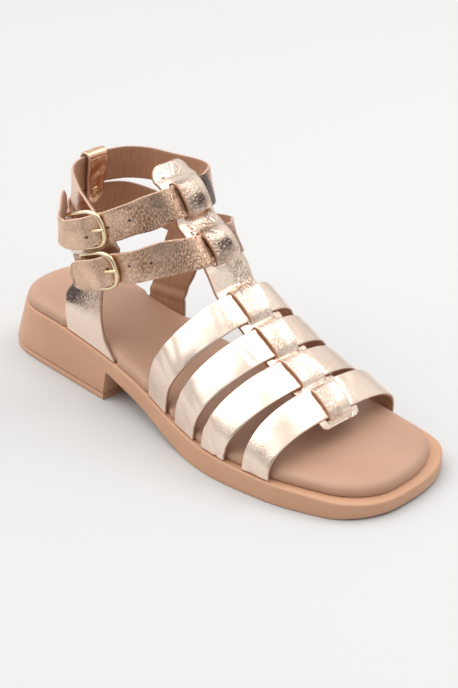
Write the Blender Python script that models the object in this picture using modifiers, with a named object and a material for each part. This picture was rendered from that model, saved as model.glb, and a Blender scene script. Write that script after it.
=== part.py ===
"""Gladiator sandal, right shoe: a padded insole on a one-piece sole with a block heel, four
forefoot straps woven through a centre strap, two buckled ankle straps and a counter band.

Metres, +Z up. While it is built, x runs from the back of the heel's rim towards the toe, y is 0
on the shoe's middle line with the inner (medial) side at +y, and z is 0 on the floor.
"""
import math

import bmesh
import bpy
import numpy as np
from mathutils import Matrix, Vector

# The last and the shoe as a whole
SHOE_LENGTH = 0.250
BALL_WIDTH = 0.0932
WAIST_WIDTH = 0.0617
HEEL_WIDTH = 0.0577
HEEL_HEIGHT = 0.0280        # top of the sole's rim at the heel
FORE_THICKNESS = 0.0111     # top of the sole's rim at the ball
ANKLE_HEIGHT = 0.1055       # ridge under the upper ankle strap
CENTRE_SIDE = 0.002         # the centre strap runs this far to the inner side
RIDGE_SIDE = -0.005         # highest line of the arches

# Sole
HEEL_END = 0.0255           # length of the rounded end at the heel
HEEL_SQUARE = 2.26
TOE_END = 0.0205
TOE_SQUARE = 2.74
HEEL_BREAST = 0.083
BREAST_LEAN = 0.002
HEEL_FLARE = 0.008          # the heel's back runs out this far at the floor
ARCH_RISE = 0.0170          # underside of the shank, just before the heel
TOE_SPRING = 0.0012
SOLE_EDGE = 0.0008          # rounding of the sole's edges
TOPLIFT_THICKNESS = 0.0034
STATION_STEP = 0.0095

# Insole
PAD_THICKNESS = 0.0058
PAD_EDGE = 0.0060           # width of the rounded edge
PAD_CROWN = 0.0006
PAD_HEEL_MARGIN = 0.0009
PAD_TOE_MARGIN = 0.0048

# Forefoot straps and centre strap
STRAP_THICKNESS = 0.0020
STRAP_WIDTH = 0.0165
STRAP_FOOT_WIDTH = 0.0150
STRAP_INSET = 0.0018        # middle of a strap's foot, in from the sole's edge
CENTRE_WIDTH = 0.0270
BRIDGE_WIDTH = 0.0150
SLIT_WIDTH = 0.0006
SLIT_EXTRA = 0.0012         # a slit is this much longer than the strap, each way
RAMP_INSET = 0.0009         # a bridge is at its full height this far in from the strap's edge
JOIN_DEPTH = 0.0005         # joined straps share this much leather
MARGIN_SINK = 0.0004        # a crossing presses the centre strap's margins in by this
ANKLE_ARCH = 2.5            # squareness of the arches in front of the leg
ARCH_LEAN = 1.5             # power by which a strap's lean grows with its height

# Ankle straps, counter band and back loop
ANKLE_STRAP_WIDTH = 0.0175
ANKLE_END_WIDTH = 0.0153    # at the buckle
ANKLE_STRAP_THICKNESS = 0.0018
ANKLE_ARCH_SPAN = 0.034     # arch of the centre strap in front of the leg
ANKLE_SLIT_EXTRA = 0.0017
ANKLE_RAMP_INSET = -0.0002  # an ankle strap slides, so its bridge keeps clear of its edges
CROSSING_WIDTH = 0.0160     # width of the ankle straps under the bridges
LOWER_SLACK = 0.0042        # the ankle straps lie this much looser on the centre strap
UPPER_SLACK = 0.0016
COUNTER_THICKNESS = 0.0020
COUNTER_WIDTH = 0.0190
LEG_EASE = 1.11             # the cutters of the legs' notches are wider by this share
LOOP_WIDTH = 0.0130
LOOP_THICKNESS = 0.0016
LOOP_DROP = 0.0285          # from the loop's fold to its lower ends
HEEL_LEAN = 0.14            # behind the heel the leather leans forward by this slope
RIVET_DROP = 0.0224         # from the loop's fold to the rivet

# Buckles and rivet
WIRE_RADIUS = 0.0010
FRAME_SQUARE = 2.8
PRONG_RADIUS = 0.0008
BUCKLE_REACH = 0.0190       # from the bar to the front of the frame
RIVET_BORE = 0.0015
RIVET_SHANK = 0.0021
RIVET_FLANGE = 0.0034
RIVET_LIP = 0.0007

GAP = 0.0003                # clearance between pieces
NOTCH_DEPTH = 0.0015        # the cutters of the insole's notches go this far below it
NOTCH_EASE = 0.0009         # and are this much wider than the leather, each way
LOOSE_GAP = 0.0005          # clearance of pieces that slide or curve on one another
PATH_STEP = 0.0045          # length of a facet along an ankle strap

LATERAL = -1
MEDIAL = 1
UP = Vector((0.0, 0.0, 1.0))

# along the shoe | width that the row follows | lateral share | medial share
OUTLINE = (
    (0.00, HEEL_WIDTH, 0.485, 0.570),
    (0.12, HEEL_WIDTH, 0.544, 0.456),
    (0.28, HEEL_WIDTH, 0.594, 0.404),
    (0.42, WAIST_WIDTH, 0.596, 0.404),
    (0.55, BALL_WIDTH, 0.462, 0.355),
    (0.68, BALL_WIDTH, 0.515, 0.461),
    (0.80, BALL_WIDTH, 0.486, 0.514),
    (0.92, BALL_WIDTH, 0.384, 0.487),
    (1.00, BALL_WIDTH, 0.263, 0.394),
)

# along the shoe | height that the row follows | share: top of the sole's rim
RIM = (
    (0.00, HEEL_HEIGHT, 0.993),
    (0.15, HEEL_HEIGHT, 1.018),
    (0.28, HEEL_HEIGHT, 0.939),
    (0.40, HEEL_HEIGHT, 0.782),
    (0.50, HEEL_HEIGHT, 0.600),
    (0.60, FORE_THICKNESS, 1.180),
    (0.75, FORE_THICKNESS, 1.000),
    (0.90, FORE_THICKNESS, 0.883),
    (1.00, FORE_THICKNESS, 0.680),
)

# along the shoe | height that the row follows | share: underside in front of the heel
UNDERSIDE = (
    (0.33, ARCH_RISE, 1.00),
    (0.40, ARCH_RISE, 0.73),
    (0.50, ARCH_RISE, 0.36),
    (0.56, ARCH_RISE, 0.12),
    (0.61, ARCH_RISE, 0.00),
    (0.92, TOE_SPRING, 0.00),
    (1.00, TOE_SPRING, 1.00),
)

# along the shoe | strap thickness | lateral share | medial share: rim beside the insole
MARGIN = (
    (0.00, STRAP_THICKNESS, 0.45, 0.45),
    (0.30, STRAP_THICKNESS, 0.60, 0.60),
    (0.45, STRAP_THICKNESS, 0.75, 0.75),
    (0.60, STRAP_THICKNESS, 1.40, 1.50),
    (0.80, STRAP_THICKNESS, 1.60, 2.25),
    (1.00, STRAP_THICKNESS, 1.75, 2.75),
)

# height over the insole's underside | way in over its rounded edge
PAD_PROFILE = (
    (0.00, 0.02),
    (0.42, 0.00),
    (0.72, 0.10),
    (0.90, 0.36),
    (1.00, 1.00),
)

# along the shoe | height | backward fall of the arch in degrees: the ridge, from toe to ankle
RIDGE = (
    (0.823, 0.228, 0),
    (0.789, 0.315, 0),
    (0.718, 0.393, 0),
    (0.650, 0.493, 0),
    (0.581, 0.610, 0),
    (0.538, 0.681, 25),
    (0.479, 0.805, 60),
    (0.441, 0.895, 65),
    (0.409, 1.008, 65),
    (0.350, 1.150, 65),
)
LOWER_ANKLE_ROW = 6
UPPER_ANKLE_ROW = 8

# name | row of the ridge | feet along the shoe | squareness of the arch | bulge as a share of
# the span: the last three are pairs, lateral and medial
FORE_STRAPS = (
    ("toe", 1, (0.7815, 0.782), (2.45, 2.8), (0.00, 0.00)),
    ("ball", 2, (0.679, 0.697), (2.45, 2.9), (0.02, 0.00)),
    ("waist", 3, (0.592, 0.618), (2.45, 3.5), (0.05, 0.03)),
    ("instep", 4, (0.499, 0.540), (2.45, 4.2), (0.10, 0.08)),
)

# along the shoe | side in half heel widths | height in ankle heights: way round the leg
UPPER_FRONT = (
    (0.390, -0.700, 0.985),
    (0.366, -0.940, 0.955),
    (0.336, -1.130, 0.915),
)
UPPER_BAR = (0.259, -1.265, 0.853)
UPPER_TAIL = (
    (0.243, -1.500, 0.860),
    (0.226, -1.350, 0.884),
    (0.206, -1.150, 0.912),
    (0.188, -0.955, 0.938),
)
UPPER_ROUND = (
    (0.286, -1.030, 0.848),
    (0.230, -0.930, 0.915),
    (0.188, -0.740, 0.945),
    (0.163, -0.590, 0.953),
    (0.143, -0.400, 0.955),
    (0.133, -0.200, 0.955),
    (0.130, 0.140, 0.955),
    (0.136, 0.460, 0.957),
    (0.156, 0.780, 0.960),
    (0.196, 1.010, 0.962),
    (0.254, 1.110, 0.965),
    (0.320, 1.130, 0.980),
    (0.378, 0.930, 1.005),
)
LOWER_FRONT = (
    (0.450, -0.780, 0.815),
    (0.404, -1.090, 0.764),
)
LOWER_BAR = (0.296, -1.285, 0.678)
LOWER_ROUND = (
    (0.300, 1.170, 0.720),
    (0.345, 1.155, 0.725),
    (0.395, 1.140, 0.745),
    (0.433, 0.990, 0.775),
    (0.461, 0.775, 0.808),
)
LOWER_TAIL = (
    (0.283, -1.572, 0.668),
)
BAND = (
    (0.350, -1.000, 0.772),
    (0.312, -1.075, 0.774),
    (0.264, -1.120, 0.773),
    (0.216, -1.010, 0.773),
    (0.174, -0.790, 0.771),
    (0.139, -0.500, 0.770),
    (0.122, -0.200, 0.770),
    (0.119, 0.140, 0.770),
    (0.125, 0.460, 0.768),
    (0.148, 0.780, 0.762),
    (0.194, 0.975, 0.745),
    (0.244, 1.060, 0.730),
    (0.296, 1.075, 0.722),
    (0.344, 1.050, 0.718),
)
BACK_ROW = 6                # row of UPPER_ROUND at the middle of the heel

# back from the buckle's bar | in towards the leg: a tab's way to the counter band
UPPER_TAB = (
    (0.0036, 0.0016),
    (0.0058, 0.0034),
)
LOWER_TAB = (
    (0.0045, 0.0010),
    (0.0095, 0.0038),
)

# share of the leg's height | back edge along the shoe | front edge along the shoe
LATERAL_LEG = (
    (0.86, 0.232, 0.314),
    (0.70, 0.230, 0.312),
    (0.45, 0.204, 0.310),
    (0.20, 0.200, 0.320),
    (0.00, 0.2055, 0.3555),
)
MEDIAL_LEG = (
    (0.86, 0.240, 0.338),
    (0.62, 0.240, 0.332),
    (0.35, 0.224, 0.322),
    (0.00, 0.224, 0.330),
)

# reach | lift: the free end of an ankle strap, from under the frame's front to over the bar
FREE_END = (
    (0.94, 0.00),
    (0.70, 0.00),
    (0.54, 0.38),
    (0.36, 0.82),
    (0.18, 1.00),
    (0.00, 1.00),
)


def curve_through(stations, values):
    """A smooth curve through the values that never swings past them."""
    xs = np.array(stations, float)
    ys = np.array(values, float)
    step = np.diff(xs)
    slope = np.diff(ys) / step
    tilt = np.zeros_like(ys)
    tilt[0] = slope[0]
    tilt[-1] = slope[-1]
    for i in range(1, len(xs) - 1):
        if slope[i - 1] * slope[i] > 0:
            near = 2 * step[i] + step[i - 1]
            far = step[i] + 2 * step[i - 1]
            tilt[i] = (near + far) / (near / slope[i - 1] + far / slope[i])

    def at(x):
        i = int(np.clip(np.searchsorted(xs, x) - 1, 0, len(step) - 1))
        t = min(max((x - xs[i]) / step[i], 0.0), 1.0)
        rise = ys[i] * (1 - t) ** 2 * (1 + 2 * t) + ys[i + 1] * t ** 2 * (3 - 2 * t)
        return float(rise + step[i] * t * (1 - t) * (tilt[i] * (1 - t) - tilt[i + 1] * t))

    return at


def table_curve(rows, column):
    """The curve of a table whose second column is the size that each row follows."""
    return curve_through([row[0] for row in rows], [row[1] * row[column] for row in rows])


outline = {LATERAL: table_curve(OUTLINE, 2), MEDIAL: table_curve(OUTLINE, 3)}
margin = {LATERAL: table_curve(MARGIN, 2), MEDIAL: table_curve(MARGIN, 3)}
rim = table_curve(RIM, 2)
underside = table_curve(UNDERSIDE, 2)


def end_round(x):
    """Share of the width that the rounded ends leave at x."""
    if x < HEEL_END:
        return (1 - ((HEEL_END - x) / HEEL_END) ** HEEL_SQUARE) ** (1 / HEEL_SQUARE)
    if x > SHOE_LENGTH - TOE_END:
        reach = (x - SHOE_LENGTH + TOE_END) / TOE_END
        return (1 - reach ** TOE_SQUARE) ** (1 / TOE_SQUARE)
    return 1.0


def sole_edge(x, side):
    return side * outline[side](x / SHOE_LENGTH) * end_round(x)


def rim_height(x):
    return rim(x / SHOE_LENGTH)


def end_stations(length):
    """Distances from an end, close together where its round is tight."""
    return [length * (1 - math.cos(math.radians(angle))) for angle in (5, 16, 30, 48, 68, 90)]


def even_stations(start, end):
    count = max(1, round((end - start) / STATION_STEP))
    return [start + (end - start) * i / count for i in range(count + 1)]


def material(name, colour, roughness, metallic):
    mat = bpy.data.materials.new(name)
    mat.use_nodes = True
    shader = mat.node_tree.nodes["Principled BSDF"]
    shader.inputs["Base Color"].default_value = (*colour, 1.0)
    shader.inputs["Roughness"].default_value = roughness
    shader.inputs["Metallic"].default_value = metallic
    mat.diffuse_color = (*colour, 1.0)
    return mat


def add_object(name, mesh, mat, cutter=False):
    obj = bpy.data.objects.new(name, mesh)
    (cutters if cutter else sandal).objects.link(obj)
    obj.parent = root
    obj.hide_render = cutter
    if cutter:
        obj.display_type = "WIRE"
    else:
        mesh.materials.append(mat)
    return obj


def mesh_from(name, points, faces):
    mesh = bpy.data.meshes.new(name)
    mesh.from_pydata([tuple(p) for p in points], [], faces)
    return mesh


def face_outward(mesh):
    bm = bmesh.new()
    bm.from_mesh(mesh)
    bmesh.ops.recalc_face_normals(bm, faces=bm.faces)
    bm.to_mesh(mesh)
    bm.free()


def smooth(obj, angle=35):
    obj.data.shade_smooth()
    obj.data.set_sharp_from_angle(angle=math.radians(angle))


def loft(name, rings, mat):
    """A closed body through rings that all have the same number of points."""
    count = len(rings[0])
    points = [p for ring in rings for p in ring]
    faces = []
    for i in range(len(rings) - 1):
        for j in range(count):
            k = (j + 1) % count
            faces.append((i * count + j, i * count + k, (i + 1) * count + k, (i + 1) * count + j))
    faces.append(tuple(range(count)))
    last = (len(rings) - 1) * count
    faces.append(tuple(last + j for j in reversed(range(count))))
    mesh = mesh_from(name, points, faces)
    face_outward(mesh)
    obj = add_object(name, mesh, mat)
    smooth(obj)
    return obj


def leather(name, rows, thickness, mat, skip=(), cutter=False):
    """A leather wall: a grid of points on its middle surface, thickened both ways."""
    columns = len(rows[0])
    points = [p for row in rows for p in row]
    faces = []
    for i in range(len(rows) - 1):
        for j in range(columns - 1):
            if (i, j) not in skip:
                a = i * columns + j
                faces.append((a, a + 1, a + columns + 1, a + columns))
    mesh = mesh_from(name, points, faces)
    obj = add_object(name, mesh, mat, cutter)
    wall = obj.modifiers.new("wall", "SOLIDIFY")
    wall.thickness = thickness
    wall.offset = 0
    smooth(obj)
    return obj


def cut(obj, cutter, operation="DIFFERENCE"):
    step = obj.modifiers.new(operation.lower(), "BOOLEAN")
    step.operation = operation
    step.object = cutter


def tube(name, path, radius, mat, closed=False, cutter=False, sides=2):
    """A round wire along the points, made a mesh with welded caps."""
    curve = bpy.data.curves.new(name, "CURVE")
    curve.dimensions = "3D"
    curve.bevel_depth = radius
    curve.bevel_resolution = sides
    curve.use_fill_caps = True
    spline = curve.splines.new("POLY")
    spline.points.add(len(path) - 1)
    for point, place in zip(spline.points, path):
        point.co = (*place, 1.0)
    spline.use_cyclic_u = closed
    holder = bpy.data.objects.new(name + "_path", curve)
    sandal.objects.link(holder)
    mesh = bpy.data.meshes.new_from_object(holder.evaluated_get(bpy.context.evaluated_depsgraph_get()))
    bpy.data.objects.remove(holder)
    bm = bmesh.new()
    bm.from_mesh(mesh)
    bmesh.ops.remove_doubles(bm, verts=bm.verts, dist=0.00001)
    bmesh.ops.recalc_face_normals(bm, faces=bm.faces)
    bm.to_mesh(mesh)
    bm.free()
    mesh.materials.clear()
    obj = add_object(name, mesh, mat, cutter)
    smooth(obj, 50)
    return obj


def block(name, halves, centre, turn, mat):
    """A box for cutting, by its half sizes, its centre and the way it is turned."""
    bm = bmesh.new()
    bmesh.ops.create_cube(bm, size=2.0)
    bmesh.ops.scale(bm, vec=halves, verts=bm.verts)
    bmesh.ops.transform(bm, matrix=Matrix.Translation(centre) @ turn.to_4x4(), verts=bm.verts)
    mesh = bpy.data.meshes.new(name)
    bm.to_mesh(mesh)
    bm.free()
    return add_object(name, mesh, mat, cutter=True)


# Sole, toplift and insole

def pulled_in(x, distance):
    """x moved towards the middle of the shoe, so that an edge's rounding goes round its ends."""
    return x + distance * (1 - 2 * x / SHOE_LENGTH)


def heel_bottom(x):
    """Where the heel's side reaches the floor, for a place x on the rim above it."""
    front = HEEL_BREAST - BREAST_LEAN
    return front - (front + HEEL_FLARE) * (1 - x / HEEL_BREAST)


def sole_ring(x, bottom_x, bottom):
    top = rim_height(x)
    ring = []
    for side in (LATERAL, MEDIAL):
        y = sole_edge(x, side)
        half = [
            (pulled_in(x, SOLE_EDGE), y - side * SOLE_EDGE, top),
            (x, y, top - SOLE_EDGE),
            (bottom_x, y, bottom + SOLE_EDGE),
            (pulled_in(bottom_x, SOLE_EDGE), y - side * SOLE_EDGE, bottom),
        ]
        ring += half if side == LATERAL else half[::-1]
    return ring


def make_outsole(mat):
    heel = end_stations(HEEL_END)
    heel += even_stations(HEEL_END, HEEL_BREAST)[1:]
    toe = [SHOE_LENGTH - x for x in reversed(end_stations(TOE_END))]
    front = even_stations(HEEL_BREAST + GAP, toe[0])[:-1] + toe
    rings = [sole_ring(x, heel_bottom(x), TOPLIFT_THICKNESS + GAP) for x in heel]
    rings += [sole_ring(x, x, underside(x / SHOE_LENGTH)) for x in front]
    return loft("outsole", rings, mat)


def make_toplift(mat):
    rings = []
    for x in end_stations(HEEL_END) + even_stations(HEEL_END, HEEL_BREAST)[1:]:
        floor_x = heel_bottom(x)
        lateral = sole_edge(x, LATERAL)
        medial = sole_edge(x, MEDIAL)
        rings.append([
            (floor_x, lateral, TOPLIFT_THICKNESS),
            (floor_x, lateral, 0.0),
            (floor_x, medial, 0.0),
            (floor_x, medial, TOPLIFT_THICKNESS),
        ])
    return loft("heel_toplift", rings, mat)


def insole_ring(share_x):
    """A section of the footbed; share_x runs over the whole outline, the pad over its margins."""
    share = share_x / SHOE_LENGTH
    x = PAD_HEEL_MARGIN + share * (SHOE_LENGTH - PAD_HEEL_MARGIN - PAD_TOE_MARGIN)
    base = rim_height(x) + GAP
    halves = {}
    for side in (LATERAL, MEDIAL):
        y = sole_edge(share_x, side) - side * margin[side](share)
        halves[side] = [
            (pulled_in(x, inward * PAD_EDGE), y - side * inward * PAD_EDGE * end_round(share_x),
             base + height * PAD_THICKNESS)
            for height, inward in PAD_PROFILE
        ]
    middle = (sole_edge(share_x, LATERAL) + sole_edge(share_x, MEDIAL)) / 2
    crown = (pulled_in(x, PAD_EDGE), middle, base + PAD_THICKNESS + PAD_CROWN)
    return halves[LATERAL] + [crown] + halves[MEDIAL][::-1]


def make_insole(mat):
    stations = end_stations(HEEL_END)
    stations += even_stations(HEEL_END, SHOE_LENGTH - TOE_END)[1:-1]
    stations += [SHOE_LENGTH - x for x in reversed(end_stations(TOE_END))]
    return loft("insole", [insole_ring(x) for x in stations], mat)


# The ridge and the arches that the straps follow

def ridge_place(row):
    return Vector((RIDGE[row][0] * SHOE_LENGTH, RIDGE_SIDE, RIDGE[row][1] * ANKLE_HEIGHT))


ridge_arc = [0.0]
for ridge_row in range(1, len(RIDGE)):
    step_length = (ridge_place(ridge_row) - ridge_place(ridge_row - 1)).length
    ridge_arc.append(ridge_arc[-1] + step_length)
ridge_x = curve_through(ridge_arc, [ridge_place(i).x for i in range(len(RIDGE))])
ridge_z = curve_through(ridge_arc, [ridge_place(i).z for i in range(len(RIDGE))])
ridge_fall = curve_through(ridge_arc, [row[2] for row in RIDGE])


def ridge_point(arc):
    return Vector((ridge_x(arc), RIDGE_SIDE, ridge_z(arc)))


def ridge_direction(arc):
    """Unit vector along the ridge, towards the ankle."""
    near = min(max(arc, GAP), ridge_arc[-1] - GAP)
    return (ridge_point(near + GAP) - ridge_point(near - GAP)).normalized()


def foot_point(x, side):
    return Vector((x, sole_edge(x, side) - side * STRAP_INSET, rim_height(x) + 2 * GAP))


def arch_sizes():
    """Span, height, forward lean and squareness of each side's arch, as curves over the ridge."""
    sizes = {}
    for side in (LATERAL, MEDIAL):
        arcs = []
        spans = []
        heights = []
        leans = []
        squares = []
        for _, row, feet, square, _ in FORE_STRAPS:
            foot = foot_point(feet[side == MEDIAL] * SHOE_LENGTH, side)
            peak = ridge_place(row)
            arcs.append(ridge_arc[row])
            spans.append(abs(foot.y - RIDGE_SIDE))
            heights.append(peak.z - foot.z)
            leans.append((foot.x - peak.x) / (peak.z - foot.z))
            squares.append(square[side == MEDIAL])
        for row in (LOWER_ANKLE_ROW, UPPER_ANKLE_ROW):
            arcs.append(ridge_arc[row])
            spans.append(ANKLE_ARCH_SPAN)
            heights.append(ANKLE_ARCH_SPAN)
            leans.append(0.0)
            squares.append(ANKLE_ARCH)
        sizes[side] = [curve_through(arcs, values) for values in (spans, heights, leans, squares)]
    return sizes


arch = arch_sizes()


def arch_drop(arc, side, drop):
    """From the ridge down the arch by a share of its height."""
    fall = math.radians(ridge_fall(arc))
    lean = arch[side][2](arc) * (1 - (1 - drop) ** ARCH_LEAN)
    return Vector((lean - math.sin(fall) * drop, 0.0, -math.cos(fall) * drop)) * arch[side][1](arc)


def arch_at(arc, y):
    """The point of the arch at this side position, y from the middle line."""
    side = MEDIAL if y > RIDGE_SIDE else LATERAL
    out = min(abs(y - RIDGE_SIDE) / arch[side][0](arc), 1.0)
    square = arch[side][3](arc)
    drop = 1 - (1 - out ** square) ** (1 / square)
    point = ridge_point(arc) + arch_drop(arc, side, drop)
    point.y = y
    return point


def arch_normal(arc, y):
    """Unit vector out of the last at this place of the arch."""
    across = arch_at(arc, y + GAP) - arch_at(arc, y - GAP)
    along = ridge_direction(arc)
    return along.cross(across).normalized() * -1


MARGIN_LEVEL = STRAP_THICKNESS / 2 - MARGIN_SINK
CROSS_LEVEL = MARGIN_LEVEL + STRAP_THICKNESS - JOIN_DEPTH
BRIDGE_LEVEL = CROSS_LEVEL + STRAP_THICKNESS - JOIN_DEPTH
ANKLE_LAYER = (STRAP_THICKNESS + ANKLE_STRAP_THICKNESS) / 2 + LOOSE_GAP
ANKLE_LEVEL = {
    LOWER_ANKLE_ROW: MARGIN_LEVEL + ANKLE_LAYER + LOWER_SLACK,
    UPPER_ANKLE_ROW: MARGIN_LEVEL + ANKLE_LAYER + UPPER_SLACK,
}


def fore_strap_rows(row, feet, bulges):
    """Both edges of a forefoot strap, from its lateral foot over the arch to its medial foot."""
    arc = ridge_arc[row]
    rows = []
    for side, foot_share, bulge in zip((LATERAL, MEDIAL), feet, bulges):
        foot_x = foot_share * SHOE_LENGTH
        half = STRAP_FOOT_WIDTH / 2
        foot_side = foot_point(foot_x - half, side) - foot_point(foot_x + half, side)
        square = arch[side][3](arc)
        part = []
        for angle in (0, 8, 16, 24, 33, 42, 51, 60, 70, 80, 90):
            rise = math.sin(math.radians(angle)) ** (2 / square)
            out = math.cos(math.radians(angle)) ** (2 / square)
            out += bulge * math.sin(math.pi * rise) ** 2
            centre = ridge_point(arc) + arch_drop(arc, side, 1 - rise)
            centre.y = RIDGE_SIDE + side * arch[side][0](arc) * out
            across = Vector((0.0, -side * math.sin(math.radians(angle)), math.cos(math.radians(angle))))
            width = ridge_direction(arc) * STRAP_WIDTH * rise + foot_side * (1 - rise)
            normal = width.cross(across).normalized() * side
            centre += normal * CROSS_LEVEL * rise
            part.append((centre + width / 2, centre - width / 2))
        rows += part if side == LATERAL else part[::-1][1:]
    return rows


def centre_strap_rows():
    """Grid of the centre strap, its slit cells, and the level of each column."""
    half = CENTRE_WIDTH / 2
    bridge = BRIDGE_WIDTH / 2
    sides = (-half, -bridge - SLIT_WIDTH, -bridge, 0.0, bridge, bridge + SLIT_WIDTH, half)
    bridge_columns = (2, 3, 4)
    slit_cells = (1, 4)
    plain = STRAP_THICKNESS / 2
    stations = []           # arc | section it follows | margins' level | bridge's level | width | slit
    tab = half * 0.8
    for out, width in ((0.0, 0.45), (0.12, 0.72), (0.4, 0.93), (1.0, 1.0)):
        arc = ridge_arc[0] + tab * out
        stations.append((arc, arc, plain, plain, width, False))
    crossings = [(ridge_arc[row], STRAP_WIDTH, SLIT_EXTRA, RAMP_INSET, BRIDGE_LEVEL)
                 for _, row, _, _, _ in FORE_STRAPS]
    crossings += [(ridge_arc[row], ANKLE_STRAP_WIDTH, ANKLE_SLIT_EXTRA, ANKLE_RAMP_INSET, level + ANKLE_LAYER)
                  for row, level in ANKLE_LEVEL.items()]
    for arc, width, extra, inset, level in crossings:
        stations = [s for s in stations if s[0] < arc - width / 2 - extra - GAP]
        full = width / 2 - inset
        start = arc - width / 2 - extra
        stations.append((start, start, plain, plain, 1.0, True))
        for place in (-full, -full / 3, full / 3, full):
            stations.append((arc + place, arc, MARGIN_LEVEL, level, 1.0, True))
        end = arc + width / 2 + extra
        stations.append((end, end, plain, plain, 1.0, False))
    for out, width in ((1.0, 1.0), (0.4, 0.93), (0.12, 0.72), (0.0, 0.45)):
        arc = ridge_arc[-1] - tab * out
        if arc > stations[-1][0] + GAP:
            stations.append((arc, arc, plain, plain, width, False))
    rows = []
    skip = set()
    for i, (arc, section, low, high, width, slit) in enumerate(stations):
        along = ridge_direction(section) * (arc - section)
        row = []
        for j, side in enumerate(sides):
            y = CENTRE_SIDE + side * width
            level = high if j in bridge_columns else low
            row.append(arch_at(section, y) + arch_normal(section, y) * level + along)
        rows.append(row)
        if slit:
            skip.update((i, j) for j in slit_cells)
    return rows, skip


def notch_rows(rows):
    """A strap's rows a little wider, with its ends brought out under the insole."""
    wide = []
    for front, back in rows:
        ease = (front - back).normalized() * NOTCH_EASE
        wide.append((front + ease, back - ease))
    ends = [[p - UP * NOTCH_DEPTH for p in row] for row in (wide[0], wide[-1])]
    return [ends[0]] + wide + [ends[1]]


def make_upper(mat):
    rows, slits = centre_strap_rows()
    upper = leather("upper", rows, STRAP_THICKNESS, mat, slits)
    for name, row, feet, _, bulges in FORE_STRAPS:
        rows = fore_strap_rows(row, feet, bulges)
        strap = leather(name + "_strap", rows, STRAP_THICKNESS, mat, cutter=True)
        cut(upper, strap, "UNION")
        notch = leather(name + "_notch", notch_rows(rows), STRAP_THICKNESS + 3 * GAP, mat, cutter=True)
        notches.append(notch)
    return upper


# Ankle straps, buckles, counter band and back loop

def ring_point(row):
    return Vector((row[0] * SHOE_LENGTH, row[1] * HEEL_WIDTH / 2, row[2] * ANKLE_HEIGHT))


def ring_up(row):
    """Upward direction of the leather here; it leans forward behind the heel."""
    return Vector((HEEL_LEAN * max(0.0, 1 - abs(row[1])), 0.0, 1.0)).normalized()


def crossing_points(row):
    """An ankle strap's middle line through the slits, from the medial to the lateral side."""
    arc = ridge_arc[row]
    places = []
    for side in (CENTRE_WIDTH / 2, BRIDGE_WIDTH / 2, 0.0, -BRIDGE_WIDTH / 2, -CENTRE_WIDTH / 2):
        y = CENTRE_SIDE + side
        places.append(arch_at(arc, y) + arch_normal(arc, y) * ANKLE_LEVEL[row])
    return places


def path_through(points, spans):
    """Smooth path through the points; a span is the vector across the leather, from edge to edge."""
    middle = []
    for i in range(len(points) - 1):
        before = points[max(i - 1, 0)]
        start = points[i]
        end = points[i + 1]
        after = points[min(i + 2, len(points) - 1)]
        length = (end - start).length
        lead_in = (end - before) * length / max((end - start).length + (start - before).length, GAP)
        lead_out = (after - start) * length / max((end - start).length + (after - end).length, GAP)
        count = max(1, round(length / PATH_STEP))
        for k in range(count):
            t = k / count
            place = (start * (1 - t) ** 2 * (1 + 2 * t) + end * t ** 2 * (3 - 2 * t)
                     + lead_in * t * (1 - t) ** 2 - lead_out * t ** 2 * (1 - t))
            middle.append((place, spans[i].lerp(spans[i + 1], t)))
    middle.append((points[-1], spans[-1]))
    return middle


def strap_rows(points, spans, round_end=False):
    """Both edges of a strap along a path; its last end may be a round tip."""
    path = path_through(points, spans)
    if round_end:
        tip, span = path.pop()
        way = (tip - path[-1][0]).normalized()
        for back in (0.30, 0.12, 0.0):
            path.append((tip - way * span.length / 2 * back, span))
    places = [place for place, _ in path]
    rows = []
    for i, (place, span) in enumerate(path):
        way = (places[min(i + 1, len(places) - 1)] - places[max(i - 1, 0)]).normalized()
        side = (span - way * span.dot(way)).normalized()
        half = span.length / 2
        left = (places[-1] - place).length
        if round_end and left < half:
            half *= max(math.sqrt(1 - ((half - left) / half) ** 2), 0.42)
        rows.append((place + side * half, place - side * half))
    return rows


FOLD_RADIUS = WIRE_RADIUS + LOOSE_GAP + ANKLE_STRAP_THICKNESS / 2
FREE_LEVEL = 2 * FOLD_RADIUS + ANKLE_STRAP_THICKNESS + 2 * GAP


def buckle_frame_axes(bar_row, front_row):
    """Axes at the middle of a bar: along the strap, outward, up, and the bar's own centre."""
    seat = ring_point(bar_row)
    along = (ring_point(front_row) - seat).normalized()
    up = (UP - along * along.z).normalized()
    outward = along.cross(up) * -1
    if outward.y > 0:
        outward = -outward
    return seat, along, outward, up, seat + outward * FOLD_RADIUS


def tab_points(axes, way_back):
    """A tab, folded round the bar from the outside to the inside and led to the band."""
    seat, along, outward, _, bar = axes
    points = [bar + outward * FOLD_RADIUS - along * FOLD_RADIUS * 0.2]
    for angle in (90, 60, 30, 0, -30, -60):
        turn = math.radians(angle)
        points.append(bar + (along * math.cos(turn) + outward * math.sin(turn)) * FOLD_RADIUS)
    points += [seat, seat - along * FOLD_RADIUS]
    return points + [seat - along * back - outward * tuck for back, tuck in way_back]


def free_points(axes, tail):
    """A strap's free end, under the frame's front, over the bar and on as a tail."""
    seat, along, outward, _, _ = axes
    points = [seat + along * BUCKLE_REACH * reach + outward * FREE_LEVEL * lift for reach, lift in FREE_END]
    return points + [ring_point(row) for row in tail]


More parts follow.
